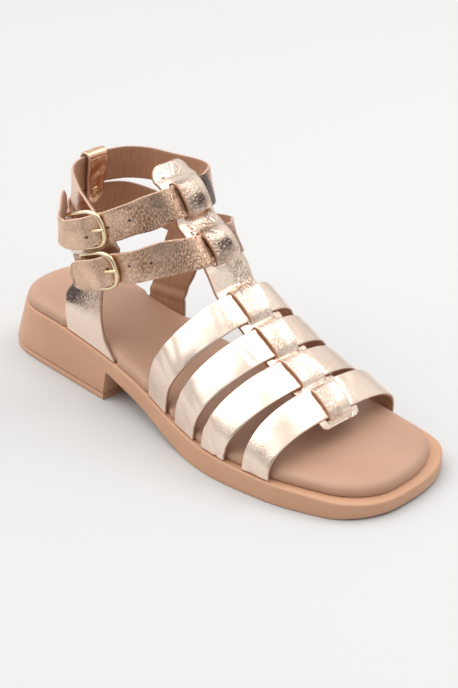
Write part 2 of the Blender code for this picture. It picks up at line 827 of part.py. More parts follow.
def make_buckle(name, axes, mat):
    """The frame and the prong, and a thicker prong that cuts its way through the strap."""
    _, along, outward, up, bar = axes
    half = ANKLE_END_WIDTH / 2 + GAP + WIRE_RADIUS
    straight = BUCKLE_REACH * 0.5
    path = [bar - up * half]
    for angle in range(-90, 91, 15):
        turn = math.radians(angle)
        forward = max(math.cos(turn), 0.0) ** (2 / FRAME_SQUARE)
        across = math.copysign(abs(math.sin(turn)) ** (2 / FRAME_SQUARE), angle)
        path.append(bar + along * (straight + (BUCKLE_REACH - straight) * forward) + up * half * across)
    path.append(bar + up * half)
    tube("buckle_frame_" + name, path, WIRE_RADIUS, mat, closed=True)
    eye = WIRE_RADIUS + GAP + PRONG_RADIUS
    prong = []
    for angle in range(-150, 61, 30):
        turn = math.radians(angle)
        prong.append(bar + (along * math.cos(turn) + outward * math.sin(turn)) * eye)
    prong.append(bar + along * BUCKLE_REACH + outward * eye)
    prong.append(bar + along * (BUCKLE_REACH + WIRE_RADIUS * 1.6) + outward * (eye - GAP))
    tube("buckle_prong_" + name, prong, PRONG_RADIUS, mat)
    way = PRONG_RADIUS + GAP
    turn = Matrix((along, up, outward)).transposed()
    slot = block(name + "_prong_slot", (2 * eye, way, 2 * eye), bar, turn, mat)
    shank = (prong[-2] + prong[-3]) / 2
    hole = block(name + "_prong_hole", (BUCKLE_REACH / 2, way, way + GAP), shank, turn, mat)
    return slot, hole


def make_ankle_strap(name, tables, crossing_row, mat, metal):
    """One ankle strap with its buckle and the short tab that holds the buckle's bar."""
    back, front, bar_row, tail, way_back = tables
    axes = buckle_frame_axes(bar_row, front[-1])
    up = axes[3]
    crossing = crossing_points(crossing_row)
    lean = ridge_direction(ridge_arc[crossing_row])
    points = [ring_point(row) for row in back] + crossing + [ring_point(row) for row in front]
    spans = [ring_up(row) * ANKLE_STRAP_WIDTH for row in back[:-1]]
    spans.append(UP.lerp(lean, 0.3).normalized() * ANKLE_STRAP_WIDTH)
    spans += [UP.lerp(lean, 0.75).normalized() * CROSSING_WIDTH] + [lean * CROSSING_WIDTH] * 4
    spans.append(UP.lerp(lean, 0.5).normalized() * ANKLE_STRAP_WIDTH)
    spans += [UP * (ANKLE_STRAP_WIDTH + ANKLE_END_WIDTH) / 2] * (len(front) - 1)
    free = free_points(axes, tail)
    points += free
    spans += [up * ANKLE_END_WIDTH] * len(FREE_END) + [UP * ANKLE_END_WIDTH] * len(tail)
    rows = strap_rows(points, spans, round_end=True)
    strap = leather("ankle_strap_" + name, rows, ANKLE_STRAP_THICKNESS, mat)
    slot, hole = make_buckle(name, axes, metal)
    cut(strap, hole)
    points = tab_points(axes, way_back)
    rows = strap_rows(points, [up * ANKLE_END_WIDTH] * len(points))
    tab = leather("buckle_tab_" + name, rows, ANKLE_STRAP_THICKNESS, mat)
    cut(tab, slot)


def leg_rows(band_bottom, first, last, table, side):
    """A leg of the counter, from the band's lower edge down to the sole's rim."""
    tops = band_bottom[first:last + 1]
    rows = []
    for share, back, front in table:
        row = []
        for top in tops:
            t = (top.x - tops[0].x) / (tops[-1].x - tops[0].x)
            edge = (back, front) if tops[-1].x > tops[0].x else (front, back)
            x = (edge[0] + (edge[1] - edge[0]) * t) * SHOE_LENGTH
            foot = foot_point(x, side)
            place = foot.lerp(top, share)
            row.append(Vector((x, place.y, place.z)))
        rows.append(row)
    return rows


def make_counter(mat):
    points = [ring_point(row) for row in BAND]
    path = path_through(points, [ring_up(row) * COUNTER_WIDTH for row in BAND])
    lateral_end = path[0][0]
    levels = (0.5, 0.0, -0.5)
    faces = []
    places = []
    start_x = lateral_end.x
    for place, span in path:
        left = start_x - place.x if place.y < 0 else COUNTER_WIDTH
        half = COUNTER_WIDTH / 2
        share = 1.0
        if left < half:
            share = max(math.sqrt(max(1 - ((half - left) / half) ** 2, 0)), 0.5)
        places.append([place + span * level * share for level in levels])
    columns = len(levels)
    vertices = [p for row in places for p in row]
    for i in range(len(places) - 1):
        for j in range(columns - 1):
            a = i * columns + j
            faces.append((a, a + 1, a + columns + 1, a + columns))
    bottoms = [row[-1] for row in places]
    leg_edges = []
    leg_feet = []
    for table, side in ((LATERAL_LEG, LATERAL), (MEDIAL_LEG, MEDIAL)):
        back = table[0][1] * SHOE_LENGTH
        front = table[0][2] * SHOE_LENGTH
        on_leg = [i for i, p in enumerate(bottoms)
                  if p.y * side > 0 and back - PATH_STEP < p.x < front + PATH_STEP]
        first, last = on_leg[0], on_leg[-1]
        rows = leg_rows(bottoms, first, last, table, side)
        above = [i * columns + columns - 1 for i in range(first, last + 1)]
        for row in rows:
            below = list(range(len(vertices), len(vertices) + len(row)))
            vertices += row
            for k in range(len(row) - 1):
                faces.append((above[k], below[k], below[k + 1], above[k + 1]))
            above = below
            leg_edges.append(below)
        leg_feet.append(below)
    mesh = mesh_from("counter_band", vertices, faces)
    obj = add_object("counter_band", mesh, mat)
    wall = obj.modifiers.new("wall", "SOLIDIFY")
    wall.thickness = COUNTER_THICKNESS
    wall.offset = 0
    smooth(obj)
    low = list(vertices)
    for row in leg_edges:
        middle = (vertices[row[0]] + vertices[row[-1]]) / 2
        for i in row:
            low[i] = middle + (vertices[i] - middle) * LEG_EASE - UP * NOTCH_DEPTH * (row in leg_feet)
    notch_mesh = mesh_from("counter_notch", low, faces)
    notch = add_object("counter_notch", notch_mesh, mat, cutter=True)
    wall = notch.modifiers.new("wall", "SOLIDIFY")
    wall.thickness = COUNTER_THICKNESS + 3 * GAP
    wall.offset = 0
    notches.append(notch)
    return obj


def make_back_loop(mat, metal, counter):
    """The loop over the upper strap's edge, and the hollow rivet that fixes it to the counter."""
    points = [ring_point(row) for row in UPPER_ROUND]
    middle = points[BACK_ROW]
    way = (points[BACK_ROW + 1] - points[BACK_ROW - 1]).normalized()
    path = path_through(points, [UP] * len(points))
    places = [place for place, _ in path]
    lean = ring_up(UPPER_ROUND[BACK_ROW])
    top = ANKLE_STRAP_WIDTH / 2 + LOOSE_GAP + GAP + LOOP_THICKNESS / 2
    level = COUNTER_THICKNESS / 2 + LOOSE_GAP + GAP + LOOP_THICKNESS / 2
    profile = []            # outward distance | drop under the fold | width share
    for drop, width in ((1.0, 0.40), (0.97, 0.62), (0.90, 0.76), (0.60, 0.90), (0.30, 1.0)):
        profile.append((level, LOOP_DROP * drop, width))
    for angle in (0, 45, 90, 135, 180):
        turn = math.radians(angle)
        profile.append((level * math.cos(turn), level * (1 - math.sin(turn)), 1.0))
    for drop, width in ((0.30, 1.0), (0.60, 0.90), (0.90, 0.76), (0.97, 0.62), (1.0, 0.40)):
        profile.append((-level, LOOP_DROP * drop, width))
    rows = []
    for out, drop, width in profile:
        row = []
        for side in (-0.5, -0.25, 0.0, 0.25, 0.5):
            aim = middle + way * side * width * LOOP_WIDTH
            near = min(range(1, len(places) - 1), key=lambda i: (places[i] - aim).length)
            tangent = (places[near + 1] - places[near - 1]).normalized()
            on_path = places[near] + tangent * (aim - places[near]).dot(tangent)
            outward = lean.cross(tangent).normalized()
            row.append(on_path + outward * out + lean * (top - drop))
        rows.append(row)
    loop = leather("back_loop", rows, LOOP_THICKNESS, mat)

    outward = lean.cross(way).normalized()
    turn = Matrix((way, outward.cross(way), outward)).transposed()
    centre = middle + lean * (top - RIVET_DROP)
    inner = level + LOOP_THICKNESS / 2 + LOOSE_GAP
    outer = inner + RIVET_LIP
    profile = (
        (RIVET_BORE, outer), (RIVET_FLANGE, outer), (RIVET_FLANGE, inner), (RIVET_SHANK, inner),
        (RIVET_SHANK, -inner), (RIVET_FLANGE, -inner), (RIVET_FLANGE, -outer), (RIVET_BORE, -outer),
    )
    count = len(profile)
    mesh = bpy.data.meshes.new("back_rivet")
    mesh.from_pydata([(r, 0.0, z) for r, z in profile], [(i, (i + 1) % count) for i in range(count)], [])
    rivet = add_object("back_rivet", mesh, metal)
    spin = rivet.modifiers.new("turn", "SCREW")
    spin.steps = 20
    spin.render_steps = 20
    spin.use_merge_vertices = True
    spin.merge_threshold = 0.00001
    seat = Matrix.Translation(centre) @ turn.to_4x4()
    rivet.matrix_local = seat
    smooth(rivet)

    bm = bmesh.new()
    bmesh.ops.create_cone(bm, cap_ends=True, segments=20, radius1=RIVET_SHANK + GAP,
                          radius2=RIVET_SHANK + GAP, depth=4 * outer)
    mesh = bpy.data.meshes.new("rivet_hole")
    bm.to_mesh(mesh)
    bm.free()
    hole = add_object("rivet_hole", mesh, mat, cutter=True)
    hole.matrix_local = seat
    cut(loop, hole)
    cut(counter, hole)


for old in list(bpy.data.objects):
    bpy.data.objects.remove(old)
sandal = bpy.data.collections.new("gladiator_sandal")
cutters = bpy.data.collections.new("cutters")
bpy.context.scene.collection.children.link(sandal)
bpy.context.scene.collection.children.link(cutters)
root = bpy.data.objects.new("sandal_root", None)
sandal.objects.link(root)

nude = material("nude_leather", (0.60, 0.38, 0.27), 0.55, 0.0)
tan = material("tan_rubber", (0.62, 0.37, 0.24), 0.5, 0.0)
foil = material("rose_gold_foil", (0.83, 0.63, 0.50), 0.3, 0.85)
gold = material("pale_gold", (0.86, 0.72, 0.52), 0.15, 1.0)

notches = []
outsole = make_outsole(tan)
make_toplift(tan)
insole = make_insole(nude)
make_upper(foil)
upper_tables = (UPPER_ROUND, UPPER_FRONT, UPPER_BAR, UPPER_TAIL, UPPER_TAB)
make_ankle_strap("upper", upper_tables, UPPER_ANKLE_ROW, foil, gold)
lower_tables = (LOWER_ROUND, LOWER_FRONT, LOWER_BAR, LOWER_TAIL, LOWER_TAB)
make_ankle_strap("lower", lower_tables, LOWER_ANKLE_ROW, foil, gold)
counter_band = make_counter(foil)
make_back_loop(foil, gold, counter_band)
for notch in notches:
    cut(insole, notch)

# The origin goes to the middle of the box, on the floor; nothing but the soles bounds its plan
edges = [sole_edge(i * STATION_STEP / 10, side) for side in (LATERAL, MEDIAL)
         for i in range(int(SHOE_LENGTH / STATION_STEP * 10))]
root.location = ((HEEL_FLARE - SHOE_LENGTH) / 2, -(min(edges) + max(edges)) / 2, 0.0)
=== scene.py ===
import math
import random

import bmesh
import bpy
import numpy as np
from mathutils import Matrix, Vector, noise


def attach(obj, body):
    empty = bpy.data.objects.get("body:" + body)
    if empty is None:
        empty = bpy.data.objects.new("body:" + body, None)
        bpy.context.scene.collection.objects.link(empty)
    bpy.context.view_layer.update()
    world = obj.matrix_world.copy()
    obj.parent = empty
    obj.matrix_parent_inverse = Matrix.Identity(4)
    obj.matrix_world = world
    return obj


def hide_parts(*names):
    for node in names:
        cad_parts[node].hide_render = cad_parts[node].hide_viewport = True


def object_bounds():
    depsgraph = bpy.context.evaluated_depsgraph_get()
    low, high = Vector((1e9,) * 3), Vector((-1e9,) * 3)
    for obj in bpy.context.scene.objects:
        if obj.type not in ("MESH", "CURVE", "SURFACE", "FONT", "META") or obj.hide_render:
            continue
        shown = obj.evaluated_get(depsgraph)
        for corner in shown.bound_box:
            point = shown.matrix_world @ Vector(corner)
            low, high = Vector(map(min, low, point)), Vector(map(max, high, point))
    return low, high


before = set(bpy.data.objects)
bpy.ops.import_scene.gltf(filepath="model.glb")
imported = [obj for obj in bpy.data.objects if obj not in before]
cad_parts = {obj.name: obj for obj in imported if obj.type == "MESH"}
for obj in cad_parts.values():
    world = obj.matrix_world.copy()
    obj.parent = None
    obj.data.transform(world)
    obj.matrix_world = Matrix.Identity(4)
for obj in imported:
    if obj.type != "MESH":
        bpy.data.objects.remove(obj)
cadLow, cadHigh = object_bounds()
print("frame loaded")

# sizes of the last and the sole, in metres: x from the heel's rim to the toe, +y inner side, z up
shoe = {
    "length": 0.250,
    "ballWidth": 0.0932,
    "waistWidth": 0.0617,
    "heelWidth": 0.0577,
    "heelHeight": 0.0280,
    "foreThickness": 0.0111,
    "ankleHeight": 0.1055,
    "centreSide": 0.002,
    "ridgeSide": -0.005,
    "heelEnd": 0.0255,
    "heelSquare": 2.26,
    "toeEnd": 0.0205,
    "toeSquare": 2.74,
    "heelBreast": 0.083,
    "breastLean": 0.002,
    "heelFlare": 0.008,
    "archRise": 0.0170,
    "toeSpring": 0.0012,
    "gap": 0.0003,
}
length = shoe["length"]
ballWidth = shoe["ballWidth"]
waistWidth = shoe["waistWidth"]
heelWidth = shoe["heelWidth"]
heelHeight = shoe["heelHeight"]
foreThickness = shoe["foreThickness"]
archRise = shoe["archRise"]
ridgeSide = shoe["ridgeSide"]
gap = shoe["gap"]
outlineStep = 0.00095
lateral = -1
medial = 1
up = Vector((0.0, 0.0, 1.0))

# along the shoe, width, lateral share, medial share
outlineRows = [
    (0.00, heelWidth, 0.485, 0.570),
    (0.12, heelWidth, 0.544, 0.456),
    (0.28, heelWidth, 0.594, 0.404),
    (0.42, waistWidth, 0.596, 0.404),
    (0.55, ballWidth, 0.462, 0.355),
    (0.68, ballWidth, 0.515, 0.461),
    (0.80, ballWidth, 0.486, 0.514),
    (0.92, ballWidth, 0.384, 0.487),
    (1.00, ballWidth, 0.263, 0.394),
]
# along the shoe, height, share: top of the rim
rimRows = [
    (0.00, heelHeight, 0.993),
    (0.15, heelHeight, 1.018),
    (0.28, heelHeight, 0.939),
    (0.40, heelHeight, 0.782),
    (0.50, heelHeight, 0.600),
    (0.60, foreThickness, 1.180),
    (0.75, foreThickness, 1.000),
    (0.90, foreThickness, 0.883),
    (1.00, foreThickness, 0.680),
]
# along the shoe, height, share: underside before the heel
underRows = [
    (0.33, archRise, 1.00),
    (0.40, archRise, 0.73),
    (0.50, archRise, 0.36),
    (0.56, archRise, 0.12),
    (0.61, archRise, 0.00),
    (0.92, shoe["toeSpring"], 0.00),
    (1.00, shoe["toeSpring"], 1.00),
]
# along the shoe, strap thickness, lateral share, medial share: rim beside the insole
marginRows = [
    (0.00, 0.002, 0.45, 0.45),
    (0.30, 0.002, 0.60, 0.60),
    (0.45, 0.002, 0.75, 0.75),
    (0.60, 0.002, 1.40, 1.50),
    (0.80, 0.002, 1.60, 2.25),
    (1.00, 0.002, 1.75, 2.75),
]
# along the shoe, height in ankle heights, backward fall of the arch in degrees
ridgeRows = [
    (0.823, 0.228, 0),
    (0.789, 0.315, 0),
    (0.718, 0.393, 0),
    (0.650, 0.493, 0),
    (0.581, 0.610, 0),
    (0.538, 0.681, 25),
    (0.479, 0.805, 60),
    (0.441, 0.895, 65),
    (0.409, 1.008, 65),
    (0.350, 1.150, 65),
]
lowerAnkleRow = 6
upperAnkleRow = 8

# name, row of the ridge, feet along the shoe, squareness of the arch, bulge: pairs are lateral, medial
foreStraps = [
    ("toeStrap", 1, (0.7815, 0.782), (2.45, 2.8), (0.00, 0.00)),
    ("ballStrap", 2, (0.679, 0.697), (2.45, 2.9), (0.02, 0.00)),
    ("waistStrap", 3, (0.592, 0.618), (2.45, 3.5), (0.05, 0.03)),
    ("instepStrap", 4, (0.499, 0.540), (2.45, 4.2), (0.10, 0.08)),
]


def curveThrough(stations, values):
    # smooth, and never past the values
    xs = np.array(stations, float)
    ys = np.array(values, float)
    step = np.diff(xs)
    slope = np.diff(ys) / step
    tilt = np.zeros_like(ys)
    tilt[0] = slope[0]
    tilt[-1] = slope[-1]
    for i in range(1, len(xs) - 1):
        if slope[i - 1] * slope[i] > 0:
            near = 2 * step[i] + step[i - 1]
            far = step[i] + 2 * step[i - 1]
            tilt[i] = (near + far) / (near / slope[i - 1] + far / slope[i])

    def at(x):
        i = int(np.clip(np.searchsorted(xs, x) - 1, 0, len(step) - 1))
        t = min(max((x - xs[i]) / step[i], 0.0), 1.0)
        rise = ys[i] * (1 - t) ** 2 * (1 + 2 * t) + ys[i + 1] * t ** 2 * (3 - 2 * t)
        return float(rise + step[i] * t * (1 - t) * (tilt[i] * (1 - t) - tilt[i + 1] * t))

    return at


def tableCurve(rows, column):
    return curveThrough([row[0] for row in rows], [row[1] * row[column] for row in rows])


def smoothStep(low, high, x):
    t = min(max((x - low) / (high - low), 0.0), 1.0)
    return t * t * (3 - 2 * t)


outline = {lateral: tableCurve(outlineRows, 2), medial: tableCurve(outlineRows, 3)}
margin = {lateral: tableCurve(marginRows, 2), medial: tableCurve(marginRows, 3)}
rim = tableCurve(rimRows, 2)
underside = tableCurve(underRows, 2)


def endRound(x):
    # share of the width that the rounded ends leave at x
    if x < shoe["heelEnd"]:
        reach = (shoe["heelEnd"] - x) / shoe["heelEnd"]
        return max(1 - reach ** shoe["heelSquare"], 0) ** (1 / shoe["heelSquare"])
    if x > length - shoe["toeEnd"]:
        reach = (x - length + shoe["toeEnd"]) / shoe["toeEnd"]
        return max(1 - reach ** shoe["toeSquare"], 0) ** (1 / shoe["toeSquare"])
    return 1.0


def soleEdge(x, side):
    return side * outline[side](x / length) * endRound(x)


def rimHeight(x):
    return rim(x / length)


# from shoe coordinates to the frame's
outlineCount = int(length / outlineStep)
edges = [soleEdge(i * outlineStep, side) for side in (lateral, medial) for i in range(outlineCount)]
rowShift = Vector((cadLow.x + shoe["heelFlare"], -(min(edges) + max(edges)) / 2, 0.0))


def stations(start, end, step, roundStart=0.0, roundEnd=0.0):
    # places along the shoe, crowded together in the rounded ends
    angles = (0, 1, 2.2, 4, 6.5, 9.5, 13, 17, 21, 26, 31, 37, 43, 49, 56, 63, 71, 80)
    places = [start + roundStart * (1 - math.cos(math.radians(a))) for a in angles if roundStart]
    first = start + roundStart
    last = end - roundEnd
    count = max(1, round((last - first) / step))
    places += [first + (last - first) * i / count for i in range(count + 1)]
    places += [end - roundEnd * (1 - math.cos(math.radians(a))) for a in reversed(angles) if roundEnd]
    return places


# materials

def newMaterial(name):
    mat = bpy.data.materials.new(name)
    mat.use_nodes = True
    tree = mat.node_tree
    return mat, tree, tree.nodes["Principled BSDF"]


def setInputs(tree, node, inputs):
    for key, value in inputs.items():
        if isinstance(value, bpy.types.NodeSocket):
            tree.links.new(value, node.inputs[key])
        else:
            node.inputs[key].default_value = value


def addNode(tree, kind, inputs=None, **settings):
    node = tree.nodes.new("ShaderNode" + kind)
    for key, value in settings.items():
        setattr(node, key, value)
    setInputs(tree, node, inputs or {})
    return node


def vectorMaths(tree, operation, a, b):
    return addNode(tree, "VectorMath", {0: a, 1: b}, operation=operation)


def layCoordinates(tree, stretch):
    # the leather's own coordinates: along, across and through the strap, in metres
    lay = addNode(tree, "Attribute", attribute_name="lay")
    return vectorMaths(tree, "MULTIPLY", lay.outputs["Vector"], stretch).outputs[0]


def ramp(tree, source, stops):
    # stops: place, and a colour or one grey value
    node = addNode(tree, "ValToRGB", {"Fac": source})
    points = node.color_ramp.elements
    while len(points) < len(stops):
        points.new(0.5)
    for point, (place, colour) in zip(points, stops):
        point.position = place
        point.color = (*colour, 1.0) if isinstance(colour, tuple) else (colour, colour, colour, 1.0)
    return node.outputs["Color"]


def maths(tree, operation, a, b=0.0, c=0.0, clamp=False):
    return addNode(tree, "Math", {0: a, 1: b, 2: c}, operation=operation, use_clamp=clamp).outputs[0]


def times(tree, a, b, clamp=False):
    return maths(tree, "MULTIPLY", a, b, clamp=clamp)


def timesPlus(tree, a, b, c, clamp=False):
    return maths(tree, "MULTIPLY_ADD", a, b, c, clamp=clamp)


def noiseAt(tree, place, scale, detail, rough=0.5, output="Fac"):
    inputs = {"Vector": place, "Scale": scale, "Detail": detail, "Roughness": rough}
    return addNode(tree, "TexNoise", inputs).outputs[output]


def mix(tree, share, first, second, blend="MIX"):
    # inputs 6 and 7 are the two colours, output 2 is their mixture
    colours = [(*c, 1) if isinstance(c, tuple) else c for c in (first, second)]
    inputs = {"Factor": share, 6: colours[0], 7: colours[1]}
    return addNode(tree, "Mix", inputs, data_type="RGBA", blend_type=blend).outputs[2]


def bump(tree, strength, distance, height):
    return addNode(tree, "Bump", {"Strength": strength, "Distance": distance, "Height": height}).outputs[0]


foilLooks = {
    # colour, its darker bronze, roughness, fine grain, crackle, stretch of the crackle along and across,
    # flecks from strain, flecks everywhere
    "foilSmooth": ((0.97, 0.81, 0.69), (0.55, 0.34, 0.22), 0.20, 0.22, 0.55, (620, 520, 1), 0.5, 0.1),
    "foilCentre": ((0.96, 0.80, 0.68), (0.46, 0.29, 0.19), 0.22, 0.30, 0.95, (520, 360, 1), 0.6, 0.15),
    # foilAnkle's dark bronze and its many flecks everywhere are the real crackled foil and also painted dark
    # reflection
    "foilAnkle": ((0.95, 0.68, 0.52), (0.25, 0.13, 0.070), 0.26, 0.50, 1.60, (1150, 620, 1), 0.7, 0.7),
    "foilLoop": ((0.82, 0.52, 0.35), (0.36, 0.17, 0.09), 0.17, 0.20, 0.50, (620, 520, 1), 0.6, 0.3),
    "foilCounter": ((0.97, 0.80, 0.69), (0.33, 0.21, 0.14), 0.22, 0.30, 1.40, (900, 800, 1), 0.9, 0.4),
}
# what all foils share: noise scales per metre, strength and depth in metres of the relief
foilGrain = {
    "dust": 2600.0,
    "patches": 95.0,
    "cloud": 38.0,
    "flecks": (1500, 560, 0),
    "bend": 1.4,
    "bump": 0.42,
    "depth": 0.00035,
    "worn": 0.55,
    # the dark brown below is the colour of painted shade and painted dark reflections
    "paintedDark": (0.085, 0.060, 0.050),
}
# punched holes of the ankle straps: along and across in the leather's own coordinates, in mm, where each
# strap's across starts from its seed, 600 or 800
holes = [(213.9, 600.0), (202.6, 600.0), (226.4, 597.5), (117.8, 801.2), (106.8, 800.0), (131.6, 801.2)]
# the holes are not cut: each is painted as a dark disc, painted shade in the hole
holeLook = {"radius": 0.75, "inner": 0.84, "outer": 1.16, "colour": (0.035, 0.02, 0.014)}
# painted dark reflections, as spots: along, across, half length, half width, depth
paintedDarkSpots = {
    "upperAnkleStrap": [(152, 0, 6, 11, 1.5)],
    "lowerAnkleStrap": [(60, 0, 4.5, 11, 1.5)],
    "centreStrap": [(131.0, 2.8, 3.4, 6.5, 0.8), (104.5, 2.0, 3.6, 6.5, 0.8)],
    "counterBand": [(31, -29, 9, 14, 1.8)],
}


# painted dark reflections: how dark they are painted at a place on a strap
def paintedDarkAt(name, along, across):
    total = 0.0
    for x, y, halfRun, halfWidth, depth in paintedDarkSpots.get(name, ()):
        total += depth * math.exp(-((along * 1000 - x) / halfRun) ** 2 - ((across * 1000 - y) / halfWidth) ** 2)
    return total


def holeMask(tree, lay):
    # 0 in a hole and 1 beside it; the ramp's places run over 2 mm
    near = None
    for x, y in holes:
        away = vectorMaths(tree, "DISTANCE", lay, (x / 1000, y / 1000, 0)).outputs["Value"]
        near = away if near is None else maths(tree, "MINIMUM", near, away)
    inner, outer = (holeLook["radius"] * holeLook[key] / 2 for key in ("inner", "outer"))
    return ramp(tree, times(tree, near, 500.0), [(inner, 0.0), (outer, 1.0)])


def foilLeather(name):
    colour, bronze, rough, grain, crackle, stretch, fleck, ground = foilLooks[name]
    mat, tree, shader = newMaterial(name)
    lay = layCoordinates(tree, (1, 1, 0))
    fine = layCoordinates(tree, stretch)
    strainAndPaintedDark = addNode(tree, "Attribute", attribute_name="strainAndPaintedDark").outputs["Fac"]
    # the crackle's cells are bent by a noise, so that no line runs straight
    bend = noiseAt(tree, fine, 0.9, 3.0, output="Color")
    bent = vectorMaths(tree, "MULTIPLY", bend, (foilGrain["bend"], foilGrain["bend"], 0))
    cellPlace = vectorMaths(tree, "ADD", fine, bent.outputs[0])
    cells = addNode(tree, "TexVoronoi", {"Vector": cellPlace.outputs[0], "Scale": 1.0},
                    feature="DISTANCE_TO_EDGE")
    cracks = ramp(tree, cells.outputs["Distance"], [(0.0, 0.0), (0.16, 0.8), (0.4, 1.0)])
    dust = noiseAt(tree, lay, foilGrain["dust"], 4.0, 0.7)
    patches = noiseAt(tree, lay, foilGrain["patches"], 3.0)
    patchy = ramp(tree, patches, [(0.35, 0.15), (0.7, 1.0)])
    strain = times(tree, strainAndPaintedDark, patchy, clamp=True)
    # height: fine grain everywhere, crackle where the leather is strained
    height = timesPlus(tree, dust, grain, times(tree, cracks, times(tree, strain, crackle)))
    height = timesPlus(tree, times(tree, patches, strainAndPaintedDark), 0.6, height)
    # foil rubbed off in the cracks shows the bronze ground
    worn = times(tree, maths(tree, "SUBTRACT", 1.0, cracks), strain, clamp=True)
    tint = mix(tree, times(tree, worn, foilGrain["worn"]), colour, bronze)
    flecks = noiseAt(tree, layCoordinates(tree, foilGrain["flecks"]), 1.0, 3.0, 0.7)
    fleckShare = ramp(tree, flecks, [(0.38, 0.0), (0.56, 1.0)])
    # dark flecks: real rubbed foil, and where they are many everywhere, as on the ankle straps, also painted
    # dark reflection
    amount = timesPlus(tree, strainAndPaintedDark, ground, timesPlus(tree, strain, fleck, -0.2))
    rubbedAndPaintedDark = times(tree, fleckShare, maths(tree, "MINIMUM", amount, 1.0), clamp=True)
    speckled = mix(tree, rubbedAndPaintedDark, tint, bronze)
    # a value above 1 is painted shade and painted dark reflection, darkening the foil towards a dark brown
    above = maths(tree, "SUBTRACT", strainAndPaintedDark, 1.0, clamp=True)
    paintedDarkShare = times(tree, above, timesPlus(tree, fleckShare, 1.1, 0.55), clamp=True)
    paintedDarkened = mix(tree, paintedDarkShare, speckled, foilGrain["paintedDark"])
    cloud = noiseAt(tree, lay, foilGrain["cloud"], 2.0)
    shade = ramp(tree, cloud, [(0.3, (0.93, 0.89, 0.87)), (0.7, 1.0)])
    final = mix(tree, 1.0, paintedDarkened, shade, blend="MULTIPLY")
    metal = 1.0
    # the punched holes are painted: dark, not metallic, for the shade in them
    if name == "foilAnkle":
        metal = holeMask(tree, lay)
        final = mix(tree, metal, holeLook["colour"], final)
    setInputs(tree, shader, {
        "Base Color": final,
        "Metallic": metal,
        "Roughness": timesPlus(tree, strain, 0.09, timesPlus(tree, dust, 0.10, rough - 0.05)),
        "Normal": bump(tree, foilGrain["bump"], foilGrain["depth"], height),
    })
    return mat


def cutEdge(name, upper, top):
    # two layers glued together, seen at the cut
    mat, tree, shader = newMaterial(name)
    lay = layCoordinates(tree, (1, 1, 1))
    depth = addNode(tree, "SeparateXYZ", {0: lay}).outputs["Z"]
    layers = ramp(tree, depth, [(0.0, (0.30, 0.17, 0.11)), (0.34, (0.42, 0.24, 0.16)),
                                (0.40, (0.16, 0.08, 0.05)), (0.47, tuple(c * 0.8 for c in upper)),
                                (0.85, upper), (1.0, top)])
    fibre = noiseAt(tree, lay, 900.0, 3.0)
    soft = ramp(tree, fibre, [(0.3, (0.86, 0.84, 0.82)), (0.7, 1.0)])
    setInputs(tree, shader, {
        "Base Color": mix(tree, 1.0, layers, soft, blend="MULTIPLY"),
        "Roughness": 0.6,
        "Normal": bump(tree, 0.4, 0.0002, fibre),
    })
    return mat


def liningLeather():
    mat, tree, shader = newMaterial("lining")
    streaks = noiseAt(tree, layCoordinates(tree, (1500, 130, 0)), 1.0, 5.0, 0.65)
    colours = [(0.3, (0.34, 0.165, 0.088)), (0.55, (0.46, 0.235, 0.130)), (0.75, (0.57, 0.31, 0.18))]
    setInputs(tree, shader, {
        "Base Color": ramp(tree, streaks, colours),
        "Roughness": 0.62,
        "Sheen Weight": 0.15,
        "Normal": bump(tree, 0.3, 0.0003, streaks),
    })
    return mat


def plainSkin(name, dark, light, rough, grainScale, grainDepth, sheen=0.0):
    # insole leather and sole rubber: a fine pebbled skin with a soft change of tone
    mat, tree, shader = newMaterial(name)
    place = addNode(tree, "TexCoord").outputs["Object"]
    cloud = noiseAt(tree, place, 42.0, 3.0)
    pebbles = addNode(tree, "TexVoronoi", {"Vector": place, "Scale": grainScale}, feature="SMOOTH_F1")
    dust = noiseAt(tree, place, grainScale * 1.7, 3.0)
    setInputs(tree, shader, {
        "Base Color": ramp(tree, cloud, [(0.3, dark), (0.7, light)]),
        "Roughness": timesPlus(tree, dust, 0.12, rough - 0.06),
        "Sheen Weight": sheen,
        "Normal": bump(tree, 0.35, grainDepth, timesPlus(tree, dust, 0.5, pebbles.outputs["Distance"])),
    })
    return mat


def polishedGold(name, colour, rough):
    mat, tree, shader = newMaterial(name)
    haze = noiseAt(tree, addNode(tree, "TexCoord").outputs["Object"], 420.0, 4.0)
    setInputs(tree, shader, {
        "Base Color": ramp(tree, haze, [(0.35, tuple(c * 0.9 for c in colour)), (0.65, colour)]),
        "Metallic": 1.0,
        "Roughness": timesPlus(tree, haze, 0.10, rough - 0.04),
        "Normal": bump(tree, 0.05, 0.0002, haze),
    })
    return mat


foils = {name: foilLeather(name) for name in foilLooks}
edgeMat = cutEdge("cutEdge", (0.72, 0.46, 0.34), (0.86, 0.62, 0.49))
# painted shade with a painted warm reflection: the slit edges are a darker, more orange copy of the cut edge
shadedSlitEdgeMat = cutEdge("shadedSlitEdge", (0.66, 0.30, 0.165), (0.80, 0.44, 0.28))
liningMat = liningLeather()
insoleMat = plainSkin("nudeLeather", (0.440, 0.250, 0.165), (0.485, 0.282, 0.187), 0.46, 1500.0, 0.00012, 0.08)
soleMat = plainSkin("tanRubber", (0.53, 0.285, 0.170), (0.575, 0.32, 0.195), 0.44, 2100.0, 0.00008)
goldMat = polishedGold("paleGold", (0.90, 0.74, 0.50), 0.12)
brassMat = polishedGold("agedBrass", (0.66, 0.44, 0.24), 0.20)
print("materials made")


# mesh helpers

def addObject(name, data):
    thing = bpy.data.objects.new(name, data)
    bpy.context.scene.collection.objects.link(thing)
    return thing


def addPiece(name, data, node):
    piece = addObject(name, data)
    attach(piece, "root")
    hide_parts(node)
    return piece


def makePiece(name, mesh, node, materials):
    for mat in materials:
        mesh.materials.append(mat)
    mesh.shade_smooth()
    return addPiece(name, mesh, node)


def meshFrom(name, points, faces):
    mesh = bpy.data.meshes.new(name)
    mesh.from_pydata([tuple(Vector(p) + rowShift) for p in points], [], faces)
    return mesh


